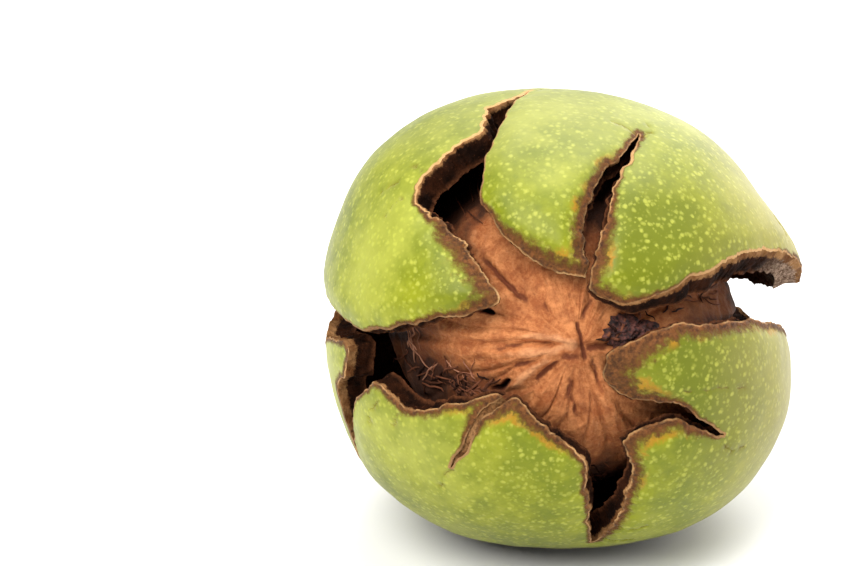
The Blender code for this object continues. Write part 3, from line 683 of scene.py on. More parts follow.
def rest_plane():
    """The surface that the fruit rests on, in its axes: the way down, and the flat's centre."""
    down = np.array(fruit_turn().inverted() @ Vector((0.0, 0.0, -1.0)))
    azimuth, colatitude = np.meshgrid(np.radians(np.linspace(*LOWEST_AZIMUTHS)),
                                      np.radians(np.linspace(*LOWEST_COLATITUDES)))
    points, _ = skin(azimuth.ravel(), colatitude.ravel())
    lowest = points[(points @ down).argmax()]
    return down, lowest - FLAT_DEPTH * down


def fruit_place():
    """Where the fruit's axes are in the world, in metres."""
    turn = fruit_turn()
    return Matrix.Translation(-(turn @ Vector(rest_plane()[1])) * MM) @ turn.to_4x4()


def pressed_flat(points):
    """Points in the fruit's axes, with those below the surface that it rests on raised to it."""
    down, centre = rest_plane()
    below = np.maximum((points - centre) @ down, 0.0)
    return points - below[:, None] * down


# The husk's fine mesh


def tree_of(points):
    tree = KDTree(len(points))
    for i, point in enumerate(points.tolist()):
        tree.insert(point, i)
    tree.balance()
    return tree


def nearest_in(tree, points):
    """From each point to the nearest in the tree: its number and its distance in mm."""
    found = [tree.find(point) for point in points.tolist()]
    return np.array([f[1] for f in found]), np.array([f[2] for f in found])


def even_angles(step):
    """Azimuths and colatitudes spread evenly over the fruit, about step mm apart."""
    count = round(4.0 * math.pi * HUSK_RADIUS**2 / (EVEN_CELL * step**2))
    index = np.arange(count) + 0.5
    colatitude = np.arccos(1.0 - 2.0 * index / count)
    azimuth = np.mod(index * math.pi * (3.0 - math.sqrt(5.0)), 2.0 * math.pi)
    return azimuth, colatitude


def scar_lines():
    """The scars' middle lines: points about SCAR_STEP apart, with how deep each is, in mm."""
    points = []
    depths = []
    for corners, depth in SCARS:
        bends, _ = skin(*np.radians(np.array(corners, float)).T)
        for start, end in zip(bends, bends[1:]):
            count = max(2, round(np.linalg.norm(end - start) / SCAR_STEP))
            for part in np.linspace(0.0, 1.0, count, endpoint=False):
                points.append(start + (end - start) * part)
                depths.append(depth)
    points = np.array(points)
    return points + ragged(points, SCAR_WANDER), np.array(depths)


def sheet_places(edge_tree, bands, scars):
    """Places over the fruit, closer together near the torn edge and along the scars."""
    azimuths = []
    colatitudes = []
    for step, near, far in bands:
        azimuth, colatitude = even_angles(step)
        _, away = nearest_in(edge_tree, skin(azimuth, colatitude)[0])
        kept = (away > near) & (away <= far)
        azimuths.append(azimuth[kept])
        colatitudes.append(colatitude[kept])
    azimuth = np.concatenate(azimuths)
    colatitude = np.concatenate(colatitudes)
    if scars is None:
        return azimuth, colatitude
    points, _ = skin(azimuth, colatitude)
    _, off_scar = nearest_in(tree_of(scars), points)
    kept = off_scar > CLEAR_OF_SCAR * SCAR_HALF_WIDTH
    ways = ((0, 0, 0), (1, 0, 0), (-1, 0, 0), (0, 1, 0), (0, -1, 0), (0, 0, 1), (0, 0, -1))
    beside = np.concatenate([scars + SCAR_HALF_WIDTH * np.array(way) for way in ways])
    _, away = nearest_in(edge_tree, beside)
    scar_azimuth, scar_colatitude = angles_of(beside[away > CLEAR_OF_EDGE])
    return (np.concatenate([azimuth[kept], scar_azimuth]),
            np.concatenate([colatitude[kept], scar_colatitude]))


def on_plane(azimuth, colatitude):
    """The fruit laid flat with the stem at the middle, where the husk is one flower-like shape."""
    radius = np.tan((math.pi - colatitude) / 2.0)
    return np.column_stack([radius * np.cos(azimuth), radius * np.sin(azimuth)])


def filled(edge, places):
    """Triangles that fill the torn edge's outline: their angles and corners, the edge's first."""
    count = len(edge)
    azimuth = np.concatenate([edge[:, 0], places[0]])
    colatitude = np.concatenate([edge[:, 1], places[1]])
    flat = on_plane(azimuth, colatitude)
    placed, _, faces, _, _, _ = delaunay_2d_cdt(flat.tolist(), [], [list(range(count))], 1, 1e-9)
    if len(placed) != len(flat):
        raise ValueError("the torn edge crosses itself")
    faces = np.array(faces)
    kept, faces = np.unique(np.concatenate([np.arange(count), faces.ravel()]), return_inverse=True)
    return azimuth[kept], colatitude[kept], faces[count:].reshape(-1, 3)


def bend(points, away, coarse):
    """The PER_EDGE values at each point, from the torn edge near it."""
    edge_points, _ = skin(coarse[:, 0], coarse[:, 1])
    found = []
    for start in range(0, len(points), 4096):
        part = points[start:start + 4096]
        apart = np.linalg.norm(part[:, None, :] - edge_points[None, :, :], axis=2)
        weights = 1.0 / (apart**2 + BEND_SOFTNESS) ** 2
        found.append((weights @ coarse[:, 2:]) / weights.sum(axis=1, keepdims=True))
    roll, lift, *rest = np.concatenate(found).T
    roll = roll * np.clip(1.0 - away / ROLL_REACH, 0.0, 1.0) ** 2
    lift = lift * smooth_step(1.0 - away / LIFT_REACH)
    return roll, lift, *rest


def facing_out(points, normals, faces):
    """The triangles, turned where they don't look along the normals."""
    corners = points[faces]
    looks = np.cross(corners[:, 1] - corners[:, 0], corners[:, 2] - corners[:, 0])
    wrong = (looks * normals[faces[:, 0]]).sum(axis=1) < 0
    turned = faces.copy()
    turned[wrong] = turned[wrong][:, ::-1]
    return turned


def strip(upper, lower):
    """Triangles between two closed rows of point numbers."""
    next_upper, next_lower = np.roll(upper, -1), np.roll(lower, -1)
    return np.concatenate([np.column_stack([upper, next_upper, next_lower]),
                           np.column_stack([upper, next_lower, lower])])


def into_flesh(points, normals):
    """At each point of the torn edge, the way along the skin and into the flesh."""
    along = np.roll(points, -1, axis=0) - np.roll(points, 1, axis=0)
    sideways = np.cross(along, normals)
    smoothed = sum(np.roll(sideways, k, axis=0) for k in range(-4, 5))
    return smoothed / np.maximum(np.linalg.norm(smoothed, axis=1, keepdims=True), 1e-6)


def skin_detail(points, away, tan, off_scar, scar_depth):
    """How far the skin stands out: soft lumps, a dried lip, a shrunken band and the scars."""
    found = lumps(points, SKIN_LUMPS)
    back = (away - LIP_BACK) / LIP_WIDTH
    found += LIP_HEIGHT * np.exp(-(back**2)) * (1.0 + lumps(points, LIP_UNEVEN))
    shrunk, puckered = (smooth_step(reach - away / np.maximum(tan, least))
                        for reach, least in (SHRUNK_REACH, PUCKER_REACH))
    found -= SHRUNK_DEPTH * shrunk * smooth_step(away / SHRUNK_FROM)
    found += lumps(points, SKIN_PUCKERS) * puckered
    return found - scar_depth * smooth_step(1.0 - off_scar / (SCAR_DENT * SCAR_HALF_WIDTH))


def skin_tone_and_highlight(points):
    """Where the skin is paler, above 0, or a deeper green, below 0, with one painted highlight."""
    found = np.zeros(len(points))
    for azimuth, colatitude, reach, tone in SKIN_TONES_AND_HIGHLIGHT:
        middle, _ = skin(np.radians([azimuth]), np.radians([colatitude]))
        found += tone * np.exp(-((points - middle) ** 2).sum(axis=1) / reach**2)
    return found


def husk_piece():
    """The husk's fine mesh and its per-point values."""
    edge = torn_edge(EDGE_STEP, fray=True)
    coarse = torn_edge(BEND_STEP, fray=False)
    rim_points, rim_normals = skin(edge[:, 0], edge[:, 1])
    edge_tree = tree_of(rim_points)
    scars, scar_depths = scar_lines()

    azimuth, colatitude, outer_faces = filled(edge, sheet_places(edge_tree, SKIN_BANDS, scars))
    base, normals = skin(azimuth, colatitude)
    _, away = nearest_in(edge_tree, base)
    away[:len(edge)] = 0.0
    scar_number, off_scar = nearest_in(tree_of(scars), base)
    roll, lift, tan, ledge, lit, jag = bend(base, away, coarse)
    # The ledge: dark flesh out into the split, partly standing in for the shade there
    ledge = ledge[:len(edge)] * (1.0 + lumps(rim_points, LEDGE_UNEVEN))
    detail = skin_detail(base, away, tan, off_scar, scar_depths[scar_number])
    off_stem = np.linalg.norm(base + (0.0, 0.0, HUSK_STEM), axis=1)
    stem = np.exp(-((off_stem / STEM_SCAR_REACH) ** 4))
    detail -= STEM_SCAR_DEPTH * stem
    outer = base + normals * (lift - roll + detail)[:, None]
    outer_faces = facing_out(base, normals, outer_faces)
    values = {
        "rim": away,
        "tan": tan,
        "scar": smooth_step(1.0 - off_scar / (SCAR_STAIN * SCAR_HALF_WIDTH)),
        "depth": np.zeros(len(outer)),
        "pale": np.zeros(len(outer)),
        "lit": lit,
        "jag": jag,
        "tone": skin_tone_and_highlight(base),
        "stem": stem,
    }

    azimuth, colatitude, inner_faces = filled(edge, sheet_places(edge_tree, LINING_BANDS, None))
    base, normals = skin(azimuth, colatitude)
    _, away = nearest_in(edge_tree, base)
    away[:len(edge)] = 0.0
    _, lift, *_ = bend(base, away, coarse)
    inner = base + normals * (lift - wall(colatitude) + lumps(base, LINING_LUMPS))[:, None]
    inner_faces = facing_out(base, normals, inner_faces)

    rim = np.arange(len(edge))
    sideways = into_flesh(rim_points, rim_normals)
    rough = lumps(rim_points, RIM_ROUGHNESS)
    inner[rim] += sideways * (WALL_BACK + np.abs(rough) - ledge)[:, None]
    inner_start = len(outer)
    rows = [rim]
    middles = []
    for row in range(1, WALL_ROWS):
        down = row / WALL_ROWS
        across = outer[rim] * (1.0 - down) + inner[rim] * down
        rough = lumps(rim_points + ROUGHNESS_SPAN * down * rim_normals, WALL_ROUGHNESS)
        under = WALL_HOLLOW * math.sin(math.pi * down) * (1.0 + lumps(rim_points, WALL_UNEVEN))
        under *= 1.0 - smooth_step(ledge / LEDGE_FULL)
        back = np.maximum(under + rough, LEAST_BACK) - ledge * (down**LEDGE_STEEPNESS - down)
        middles.append(across + sideways * back[:, None])
        rows.append(inner_start + len(inner) + (row - 1) * len(edge) + rim)
    rows.append(inner_start + rim)
    faces = [outer_faces, inner_start + inner_faces[:, ::-1]]
    faces += [strip(upper, lower) for upper, lower in zip(rows, rows[1:])]
    slots = np.repeat([0, 1], [len(outer_faces), sum(len(part) for part in faces[1:])])

    points = pressed_flat(np.concatenate([outer, inner, *middles]))
    depths = np.concatenate([np.full(len(inner), 1.0),
                             np.repeat(np.arange(1, WALL_ROWS) / WALL_ROWS, len(edge))])
    behind = np.concatenate([inner, *middles])
    pale = smooth_step(1.3 - np.linalg.norm(behind - FLARED_END, axis=1) / FLARED_REACH)
    rim_lit = lit[:len(edge)]
    rest_lit = np.concatenate([np.resize(rim_lit, len(inner)), np.tile(rim_lit, WALL_ROWS - 1)])
    rest = {"depth": depths, "pale": pale, "lit": rest_lit}
    for name, value in values.items():
        values[name] = np.concatenate([value, rest.get(name, np.zeros(len(depths)))])
    return points, np.concatenate(faces), values, slots


# The nut's fine mesh


def off_line(places, corners):
    """From each place to a line through the corners, in mm, and how far along it, 0 to 1."""
    corners = np.array(corners, float)
    best = np.full(len(places), 99.0)
    along = np.zeros(len(places))
    spans = len(corners) - 1
    for k in range(spans):
        start, span = corners[k], corners[k + 1] - corners[k]
        part = np.clip((places - start) @ span / (span @ span), 0.0, 1.0)
        apart = np.linalg.norm(places - start - part[:, None] * span, axis=1)
        nearer = apart < best
        best[nearer] = apart[nearer]
        along[nearer] = (k + part[nearer]) / spans
    return best, along


def nut_detail(points, azimuth, colatitude):
    """Fine relief: fibres running from tip to stem, a net of veins, pits, lines and the hollow."""
    from_axis = np.hypot(points[:, 0], points[:, 1])
    turned = azimuth + lumps(points, FIBRE_SWAY)
    grain = np.column_stack([np.cos(turned), np.sin(turned), FIBRE_STRETCH * colatitude])
    fibres = sum(height * noise_at(grain * finer + shift) for height, finer, shift in FIBRES)
    net = 0.0
    for height, size, shift in VEINS:
        veins = 1.0 - np.abs(noise_at(points / size + shift)) / VEIN_WIDTH
        net += height * np.clip(veins, 0.0, 1.0) ** 2
    pits = PIT_DEPTH * np.clip(noise_at(points + 8.0) - PIT_SHARE, 0.0, 1.0)
    found = off_point(from_axis, RIDGES_CLEAR) * fibres
    found += off_point(from_axis, NET_CLEAR) * (net - pits)
    front = points[:, 2] > 0.0
    strays, size = LINE_WANDER
    strayed = [noise_at(points / size), noise_at(points / size + 30.0)]
    places = points[:, :2] + strays * np.column_stack(strayed)
    for corners, height, half_width in NUT_LINES:
        off, along = off_line(places, corners)
        taper = smooth_step(along * 6.0 + 0.4) * smooth_step((1.0 - along) * 2.2)
        found += front * height * taper * np.exp(-((off / half_width) ** 2))
    off = (places - HOLLOW_MIDDLE) / HOLLOW_HALF
    return found - front * HOLLOW_DEPTH * np.exp(-((off**2).sum(axis=1)) ** 1.5)


def turned_from(azimuth, degrees):
    """How far azimuths are from one in degrees, the short way round, in radians."""
    return np.angle(np.exp(1j * (azimuth - math.radians(degrees))))


def nut_painted_shade(azimuth, colatitude):
    """Painted shade on the shell, from 0 to 1: out towards the roots of the splits and beside the
    edge.
    """
    degrees = np.degrees(colatitude)
    outwards, beside = (smooth_step((degrees - start) / change)
                        for start, change in (PAINTED_SHADE_OUTWARDS, PAINTED_SHADE_BESIDE))
    edge = torn_edge(BEND_STEP, fray=False)
    _, away = nearest_in(tree_of(skin(edge[:, 0], edge[:, 1])[0]), skin(azimuth, colatitude)[0])
    beside = smooth_step(1.0 - away / BESIDE_EDGE) * beside
    lighter = sum(np.exp(-((turned_from(azimuth, at) / LESS_SHADE_WIDTH) ** 2)) * LESS_SHADE_DEPTH
                  for at in NUT_LESS_SHADED_SIDES)
    patches = sum(depth * np.exp(-((turned_from(azimuth, at) / PAINTED_SHADE_WIDTH) ** 2
                                   + ((degrees - out) / reach) ** 2))
                  for at, out, reach, depth in NUT_PAINTED_SHADES)
    return np.clip(outwards + BESIDE_DARKNESS * beside + patches - lighter, 0.0, 1.4)


def nut_piece():
    """The nut's fine mesh and its per-point values."""
    front = np.linspace(0.0, 0.5, NUT_FRONT_RINGS, endpoint=False)[1:] ** FRONT_CROWDING
    front /= 0.5 ** (FRONT_CROWDING - 1.0)
    back = np.linspace(0.5, 1.0, NUT_BACK_RINGS, endpoint=False)
    rings = math.pi * np.concatenate([front, back])
    turns = 2.0 * math.pi * np.arange(NUT_SEGMENTS) / NUT_SEGMENTS
    colatitude = np.concatenate([[0.0], np.repeat(rings, NUT_SEGMENTS), [math.pi]])
    azimuth = np.concatenate([[0.0], np.tile(turns, len(rings)), [0.0]])
    normals = np.column_stack([np.sin(colatitude) * np.cos(azimuth),
                               np.sin(colatitude) * np.sin(azimuth), np.cos(colatitude)])
    oval = normals * (NUT_RADIUS, NUT_RADIUS, NUT_HALF_LENGTH)
    form = nut_relief(oval, azimuth, colatitude)
    fine = nut_detail(oval, azimuth, colatitude)
    points = oval + normals * (form + fine)[:, None] + (0.0, 0.0, NUT_FORWARD)
    rows = [1 + ring * NUT_SEGMENTS + np.arange(NUT_SEGMENTS) for ring in range(len(rings))]
    faces = [strip(lower, upper)[:, ::-1] for upper, lower in zip(rows, rows[1:])]
    tip = np.column_stack([np.zeros(NUT_SEGMENTS, int), rows[0], np.roll(rows[0], -1)])
    end = np.full(NUT_SEGMENTS, len(points) - 1)
    stem = np.column_stack([end, np.roll(rows[-1], -1), rows[-1]])
    values = {"form": form, "fine": fine, "azimuth": azimuth, "colatitude": colatitude,
              "stain": nut_painted_shade(azimuth, colatitude)}
    faces = facing_out(points, normals, np.concatenate([tip, *faces, stem]))
    return points, faces, values


def nut_surface(x, y, above=0.0):
    """The point on the nut's front over (x, y) mm across its axis, raised by above mm."""
    inside = np.clip(1.0 - (x * x + y * y) / NUT_RADIUS**2, 0.0, 1.0)
    normal = np.array([x / NUT_RADIUS, y / NUT_RADIUS, math.sqrt(inside)])
    azimuth = np.array([math.atan2(y, x)])
    colatitude = np.array([math.acos(np.clip(normal[2], -1.0, 1.0))])
    oval = normal * (NUT_RADIUS, NUT_RADIUS, NUT_HALF_LENGTH)
    relief = nut_relief(oval[None, :], azimuth, colatitude)[0]
    return oval + normal * (relief + above) + (0.0, 0.0, NUT_FORWARD)


# Strands and the shred


def strand(start, way, length, thickness, lift, seed):
    """A curling tube that lies on the nut: points and faces, thinner towards its ends."""
    spots = []
    x, y = start
    for k in range(STRAND_SEGMENTS + 1):
        part = k / STRAND_SEGMENTS
        turn = sum(far * noise.noise((seed, part * often, shift))
                   for far, often, shift in STRAND_STRAYS)
        least, more, often, shift = STRAND_RISE
        rise = least + abs(noise.noise((seed, part * often, shift))) * more
        spots.append(nut_surface(x, y, lift * rise))
        step = length / STRAND_SEGMENTS
        x += step * math.cos(way + turn)
        y += step * math.sin(way + turn)
    spots = np.array(spots)
    along = np.gradient(spots, axis=0)
    along /= np.linalg.norm(along, axis=1, keepdims=True)
    side = np.cross(along, (0.0, 0.0, 1.0))
    side /= np.maximum(np.linalg.norm(side, axis=1, keepdims=True), 1e-6)
    up = np.cross(side, along)
    parts = np.linspace(0.0, 1.0, STRAND_SEGMENTS + 1)
    bulge = np.sin(math.pi * np.clip(parts * 0.9 + 0.08, 0, 1))
    radii = thickness * (STRAND_ENDS + (1.0 - STRAND_ENDS) * bulge)
    turns = 2.0 * math.pi * np.arange(STRAND_SIDES) / STRAND_SIDES
    ring = np.cos(turns)[:, None] * side[:, None, :] + np.sin(turns)[:, None] * up[:, None, :]
    points = (spots[:, None, :] + radii[:, None, None] * ring).reshape(-1, 3)
    rows = np.arange(len(points)).reshape(-1, STRAND_SIDES)
    faces = [strip(upper, lower) for upper, lower in zip(rows, rows[1:])]
    first, last = rows[0], rows[-1]
    for k in range(1, STRAND_SIDES - 1):
        ends = [[first[0], first[k], first[k + 1]], [last[0], last[k + 1], last[k]]]
        faces.append(np.array(ends))
    return points, np.concatenate(faces)


def slit_filling():
    """A ribbon of flesh along the slit, a little under its edges: a grid of points, and faces."""
    corners, _ = skin(*np.radians(np.array(FILLING_LINE)).T)
    parts = np.linspace(0.0, 1.0, FILLING_STEPS)[:, None]
    spots = np.concatenate([start + (end - start) * parts
                            for start, end in zip(corners, corners[1:])])
    spots += ragged(spots, RAGGED)
    on_skin, normals = skin(*angles_of(spots))
    along = np.gradient(on_skin, axis=0)
    side = np.cross(along, normals)
    side /= np.maximum(np.linalg.norm(side, axis=1, keepdims=True), 1e-6)
    across = FILLING_HALF_WIDTH * np.linspace(-1.0, 1.0, FILLING_ACROSS)
    flat = (on_skin[:, None, :] + across[None, :, None] * side[:, None, :]).reshape(-1, 3)
    roll, lift, *_ = bend(flat, np.zeros(len(flat)), torn_edge(BEND_STEP, fray=False))
    down = roll - lift + FILLING_UNDER * (1.0 + lumps(flat, FILLING_ROUGHNESS))
    points = flat - np.repeat(normals, FILLING_ACROSS, axis=0) * down[:, None]
    number = np.arange(len(points)).reshape(-1, FILLING_ACROSS)
    corner = [number[:-1, :-1], number[1:, :-1], number[1:, 1:], number[:-1, 1:]]
    a, b, c, d = (part.ravel() for part in corner)
    return points, np.concatenate([np.column_stack([a, b, c]), np.column_stack([a, c, d])])


def strands_piece(dark, random_seed):
    """All the strands of one kind as one mesh, each with a shade of its own."""
    rng = np.random.default_rng(random_seed)
    points = []
    faces = []
    shades = []
    count = 0
    for number, middle, half, way, spread, length, thickness, lift, is_dark in STRANDS:
        for _ in range(number):
            start = np.array(middle) + np.array(half) * rng.uniform(-1.0, 1.0, 2)
            heading = math.radians(way + spread * rng.normal())
            size = length * rng.uniform(*STRAND_LENGTHS)
            thick = thickness * rng.uniform(*STRAND_THICKNESSES)
            seed = rng.uniform(0.0, 900.0)
            shade = rng.uniform(0.0, 1.0)
            if is_dark != dark:
                continue
            tube, tube_faces = strand(start, heading, size, thick, lift, seed)
            points.append(tube)
            faces.append(tube_faces + count)
            shades.append(np.full(len(tube), shade))
            count += len(tube)
    return np.concatenate(points), np.concatenate(faces), {"shade": np.concatenate(shades)}


def shred_piece():
    """The shred: a ragged heap over the shell, its rim tucked into it."""
    top = [nut_surface(*SHRED_MIDDLE, SHRED_HEIGHT)]
    for ring in np.linspace(0.0, 1.0, SHRED_RINGS + 1)[1:]:
        for turn in 2.0 * math.pi * np.arange(SHRED_SEGMENTS) / SHRED_SEGMENTS:
            way = np.array((math.cos(turn), math.sin(turn)))
            rim = 1.0 + sum(far * noise.noise((*(way * finer), shift))
                            for far, finer, shift in SHRED_RIM)
            x, y = SHRED_MIDDLE + np.array(SHRED_HALF) * ring * rim * way
            heap = noise.fractal((x / SHRED_LUMP, y / SHRED_LUMP, 3.0), 0.8, 2.2, 5)
            ridges = 1.0 - 2.0 * abs(noise.noise((x / SHRED_RIDGE, y / SHRED_RIDGE, 5.0)))
            even, lumpy, ridged = SHRED_PARTS
            height = SHRED_HEIGHT * (1.0 - ring**3) * (even + lumpy * heap + ridged * ridges)
            top.append(nut_surface(x, y, height - SHRED_TUCK * ring**6))
    rows = [1 + k * SHRED_SEGMENTS + np.arange(SHRED_SEGMENTS) for k in range(SHRED_RINGS)]
    cap = np.column_stack([np.zeros(SHRED_SEGMENTS, int), rows[0], np.roll(rows[0], -1)])
    rings = [strip(lower, upper)[:, ::-1] for upper, lower in zip(rows, rows[1:])]
    return np.array(top), np.concatenate([cap, *rings])


# Making objects


def add_piece(name, points, faces, values, materials, slot, node=None, slots=None):
    """One object, from points in mm in the fruit's axes, with values per point for its materials.

    slot is not used, node is the node that it replaces, and slots the number of each face's
    material where it has more than one.
    """
    place = np.array(fruit_place())
    points = points @ place[:3, :3].T * MM + place[:3, 3]
    mesh = bpy.data.meshes.new(name)
    mesh.from_pydata(points.tolist(), [], faces.tolist())
    for key, value in values.items():
        attribute = mesh.attributes.new(key, "FLOAT", "POINT")
        attribute.data.foreach_set("value", value.astype(np.float32))
    for finish in materials:
        mesh.materials.append(finish)
    if slots is not None:
        mesh.polygons.foreach_set("material_index", slots.astype(np.int32))
    mesh.shade_smooth()
    piece = bpy.data.objects.new(name, mesh)
    bpy.context.scene.collection.objects.link(piece)
    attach(piece, "root")
    if node:
        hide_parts(node)
    return piece


class Wire:
    """What a node gives. Adding, subtracting, multiplying or dividing it makes a math node."""

    def __init__(self, shader, socket):
        self.shader = shader
        self.socket = socket

    def __add__(self, other):
        return self.shader.math("ADD", self, other)

    def __sub__(self, other):
        return self.shader.math("SUBTRACT", self, other)

    def __mul__(self, other):
        return self.shader.math("MULTIPLY", self, other)

    def __truediv__(self, other):
        return self.shader.math("DIVIDE", self, other)


class Shader:
    """A material's nodes. Each call takes numbers, colours or wires, and gives a wire."""

    def __init__(self, name):
        self.material = bpy.data.materials.new(name)
        self.material.use_nodes = True
        self.nodes = self.material.node_tree.nodes
        self.surface = self.nodes["Principled BSDF"]
        place = self.node("ShaderNodeTexCoord", "Object", {})
        self.mm = self.scaled(place, 1.0 / MM)

    def feed(self, socket, value):
        if isinstance(value, Wire):
            self.material.node_tree.links.new(value.socket, socket)
        elif isinstance(value, tuple) and socket.type == "RGBA":
            socket.default_value = (*value[:3], 1.0)
        else:
            socket.default_value = value

    def node(self, kind, wanted, inputs, **settings):
        """One output of a new node with these inputs and settings."""
        made = self.nodes.new(kind)
        for key, value in settings.items():
            setattr(made, key, value)
        for key, value in inputs.items():
            self.feed(made.inputs[key], value)
        return Wire(self, made.outputs[wanted])

    def value(self, name):
        """A value per point of the mesh."""
        return self.node("ShaderNodeAttribute", "Fac", {}, attribute_name=name)

    def math(self, operation, a, b=0.0):
        return self.node("ShaderNodeMath", 0, {0: a, 1: b}, operation=operation)

    def vector(self, operation, a, b):
        return self.node("ShaderNodeVectorMath", 0, {0: a, 1: b}, operation=operation)

    def scaled(self, a, scale):
        return self.node("ShaderNodeVectorMath", 0, {0: a, "Scale": scale}, operation="SCALE")

    def noise(self, where, size, detail=2.0, rough=0.5, wanted="Fac"):
        """Noise from 0 to 1 with lumps about size mm across, or as a colour."""
        inputs = {"Vector": where, "Scale": 1.0 / size, "Detail": detail, "Roughness": rough}
        return self.node("ShaderNodeTexNoise", wanted, inputs)

    def cells(self, where, size, wanted="Distance"):
        """Cells about size mm across: the distance to the nearest middle, or its random colour."""
        return self.node("ShaderNodeTexVoronoi", wanted, {"Vector": where, "Scale": 1.0 / size})

    def ramp(self, value, start, end, low=0.0, high=1.0):
        """From low at start to high at end, smoothly."""
        inputs = {"Value": value, "From Min": start, "From Max": end, "To Min": low, "To Max": high}
        return self.node("ShaderNodeMapRange", 0, inputs, interpolation_type="SMOOTHSTEP")

    def mix(self, factor, a, b):
        """From colour a at 0 to colour b at 1."""
        return self.node("ShaderNodeMix", 2, {0: factor, 6: a, 7: b}, data_type="RGBA")

    def bump(self, height, strength, distance, normal=None):
        """A normal from a height, over the given distance in mm."""
        inputs = {"Height": height, "Strength": strength, "Distance": distance * MM}
        if normal:
            inputs["Normal"] = normal
        return self.node("ShaderNodeBump", 0, inputs)

    def finish(self, colour, roughness, normal=None, **settings):
        """The material, with the rest of its surface's settings by name."""
        inputs = {"Base Color": colour, "Roughness": roughness}
        if normal:
            inputs["Normal"] = normal
        for key, value in settings.items():
            inputs[key.replace("_", " ")] = value
        for key, value in inputs.items():
            self.feed(self.surface.inputs[key], value)
        return self.material


def skin_material():
    """Yellow-green skin with pale freckles, browned and dried towards the torn edge, and painted
    light and shade.
    """
    s = Shader("husk_skin_fine")
    broad = s.noise(s.mm, 9.0)
    patchy = s.noise(s.mm, 2.6, 3.0, 0.6)
    fine = s.noise(s.mm, 0.5)
    green = s.mix(s.ramp(broad * 0.55 + patchy * 0.45, 0.36, 0.64), *GREENS)
    green = s.mix(s.ramp(fine, 0.45, 0.75, 0.0, 0.3), green, DULL_GREEN)
    tone = s.value("tone") + (patchy - 0.5) * 0.8
    green = s.mix(s.ramp(tone, 0.0, -1.0, 0.0, 0.9), green, DEEP_GREEN)
    # The pale side also paints the one highlight in the table of tones
    green = s.mix(s.ramp(tone, 0.0, 1.0, 0.0, 0.7), green, PALE_GREEN_AND_HIGHLIGHT)

    # Freckles: larger dots and smaller specks, at strayed places, some fainter by their cell
    stray = s.noise(s.mm, 1.0 / 2.2, wanted="Color")
    strayed = s.vector("ADD", s.mm, s.scaled(stray, 0.45))
    dots = s.ramp(s.cells(strayed, 0.8), 0.12, 0.46, 1.0, 0.0)
    dots *= s.ramp(s.cells(strayed, 0.8, "Color"), 0.1, 0.7, 0.45, 1.0)
    specks = s.ramp(s.cells(strayed, 0.5), 0.12, 0.42, 0.6, 0.0)
    specks *= s.ramp(s.cells(strayed, 0.5, "Color"), 0.25, 0.75)
    freckles = s.math("MAXIMUM", dots, specks)
    colour = s.mix(freckles * 0.68, green, FRECKLE)

    # Painted by the place in the world: warm rim light on the right flank, contact shade below, light
    # on top
    x, z = (s.node("ShaderNodeSeparateXYZ", axis, {0: s.mm}) for axis in (0, 2))
    colour = s.mix(s.ramp(x + broad * 6.0, 12.0, 29.0) * 0.55, colour, PAINTED_WARM_RIM_LIGHT)
    colour = s.mix(s.ramp(z + patchy * 1.5, 2.0, 5.0, 0.85, 0.0), colour, PAINTED_CONTACT_SHADE)
    colour = s.mix(s.ramp(z + broad * 5.0, 45.0, 54.0) * 0.4, colour, PAINTED_CROWN_LIGHT)

    # The browned band along the torn edge, with a yellowed glow outside it in places
    rim, tan = s.value("rim"), s.value("tan")
    wander = s.noise(s.mm, 0.9, 4.0, 0.7) - 0.5
    reach = rim / tan + wander * 1.7
    bruise = s.ramp(reach, 0.45, 1.3, 1.0, 0.0)
    olive = s.mix(s.noise(s.mm, 1.3, 3.0), *OLIVE_BROWNS)
    dried = s.mix(s.ramp(s.noise(s.mm, 0.55, 4.0, 0.65), 0.35, 0.65), *DRIED_BROWNS)
    colour = s.mix(bruise * 0.97, colour, s.mix(s.ramp(reach, 0.1, 0.75), dried, olive))
    glow = s.ramp(reach, 0.7, 1.0) * s.ramp(reach, 1.0, 1.5, 1.0, 0.0)
    glow *= s.ramp(s.noise(s.mm, 4.0), 0.5, 0.62, 0.0, 0.7)
    colour = s.mix(glow * s.ramp(tan, 0.7, 1.1), colour, YELLOWED)

    # The pale dried lip, wider and whole where the edge is fresh, and stronger where it is frayed
    fresh = s.ramp(tan, 0.55, 0.3)
    lip = s.ramp(rim + (wander + fresh * -0.25) * 0.5, 0.06, 0.22, 1.0, 0.0)
    patches = s.ramp(s.noise(s.mm, 1.8, 3.0, 0.6), 0.40, 0.58, 0.1, 0.85)
    lip *= s.ramp(s.value("jag"), 0.2, 0.7, 0.4, 1.0) * s.math("MAXIMUM", patches, fresh)
    colour = s.mix(lip, colour, DRIED_LIP)
    colour = s.mix(s.value("scar") * 0.8, colour, SCAR_BROWN)
    colour = s.mix(s.ramp(s.value("stem") + wander * 0.5, 0.25, 0.6), colour, dried)

    height = freckles * 0.6 + fine * 0.5 + s.noise(s.mm, 0.16) * 0.35
    crackle = s.noise(s.mm, 0.3, 4.0, 0.7) * bruise
    normal = s.bump(crackle, 0.9, 0.2, s.bump(height, 0.45, 0.06))
    return s.finish(colour, s.ramp(bruise, 0.0, 1.0, 0.45, 0.7), normal, Specular_IOR_Level=0.22,
                    Sheen_Weight=0.07, Sheen_Roughness=0.3, Sheen_Tint=SKIN_SHEEN)


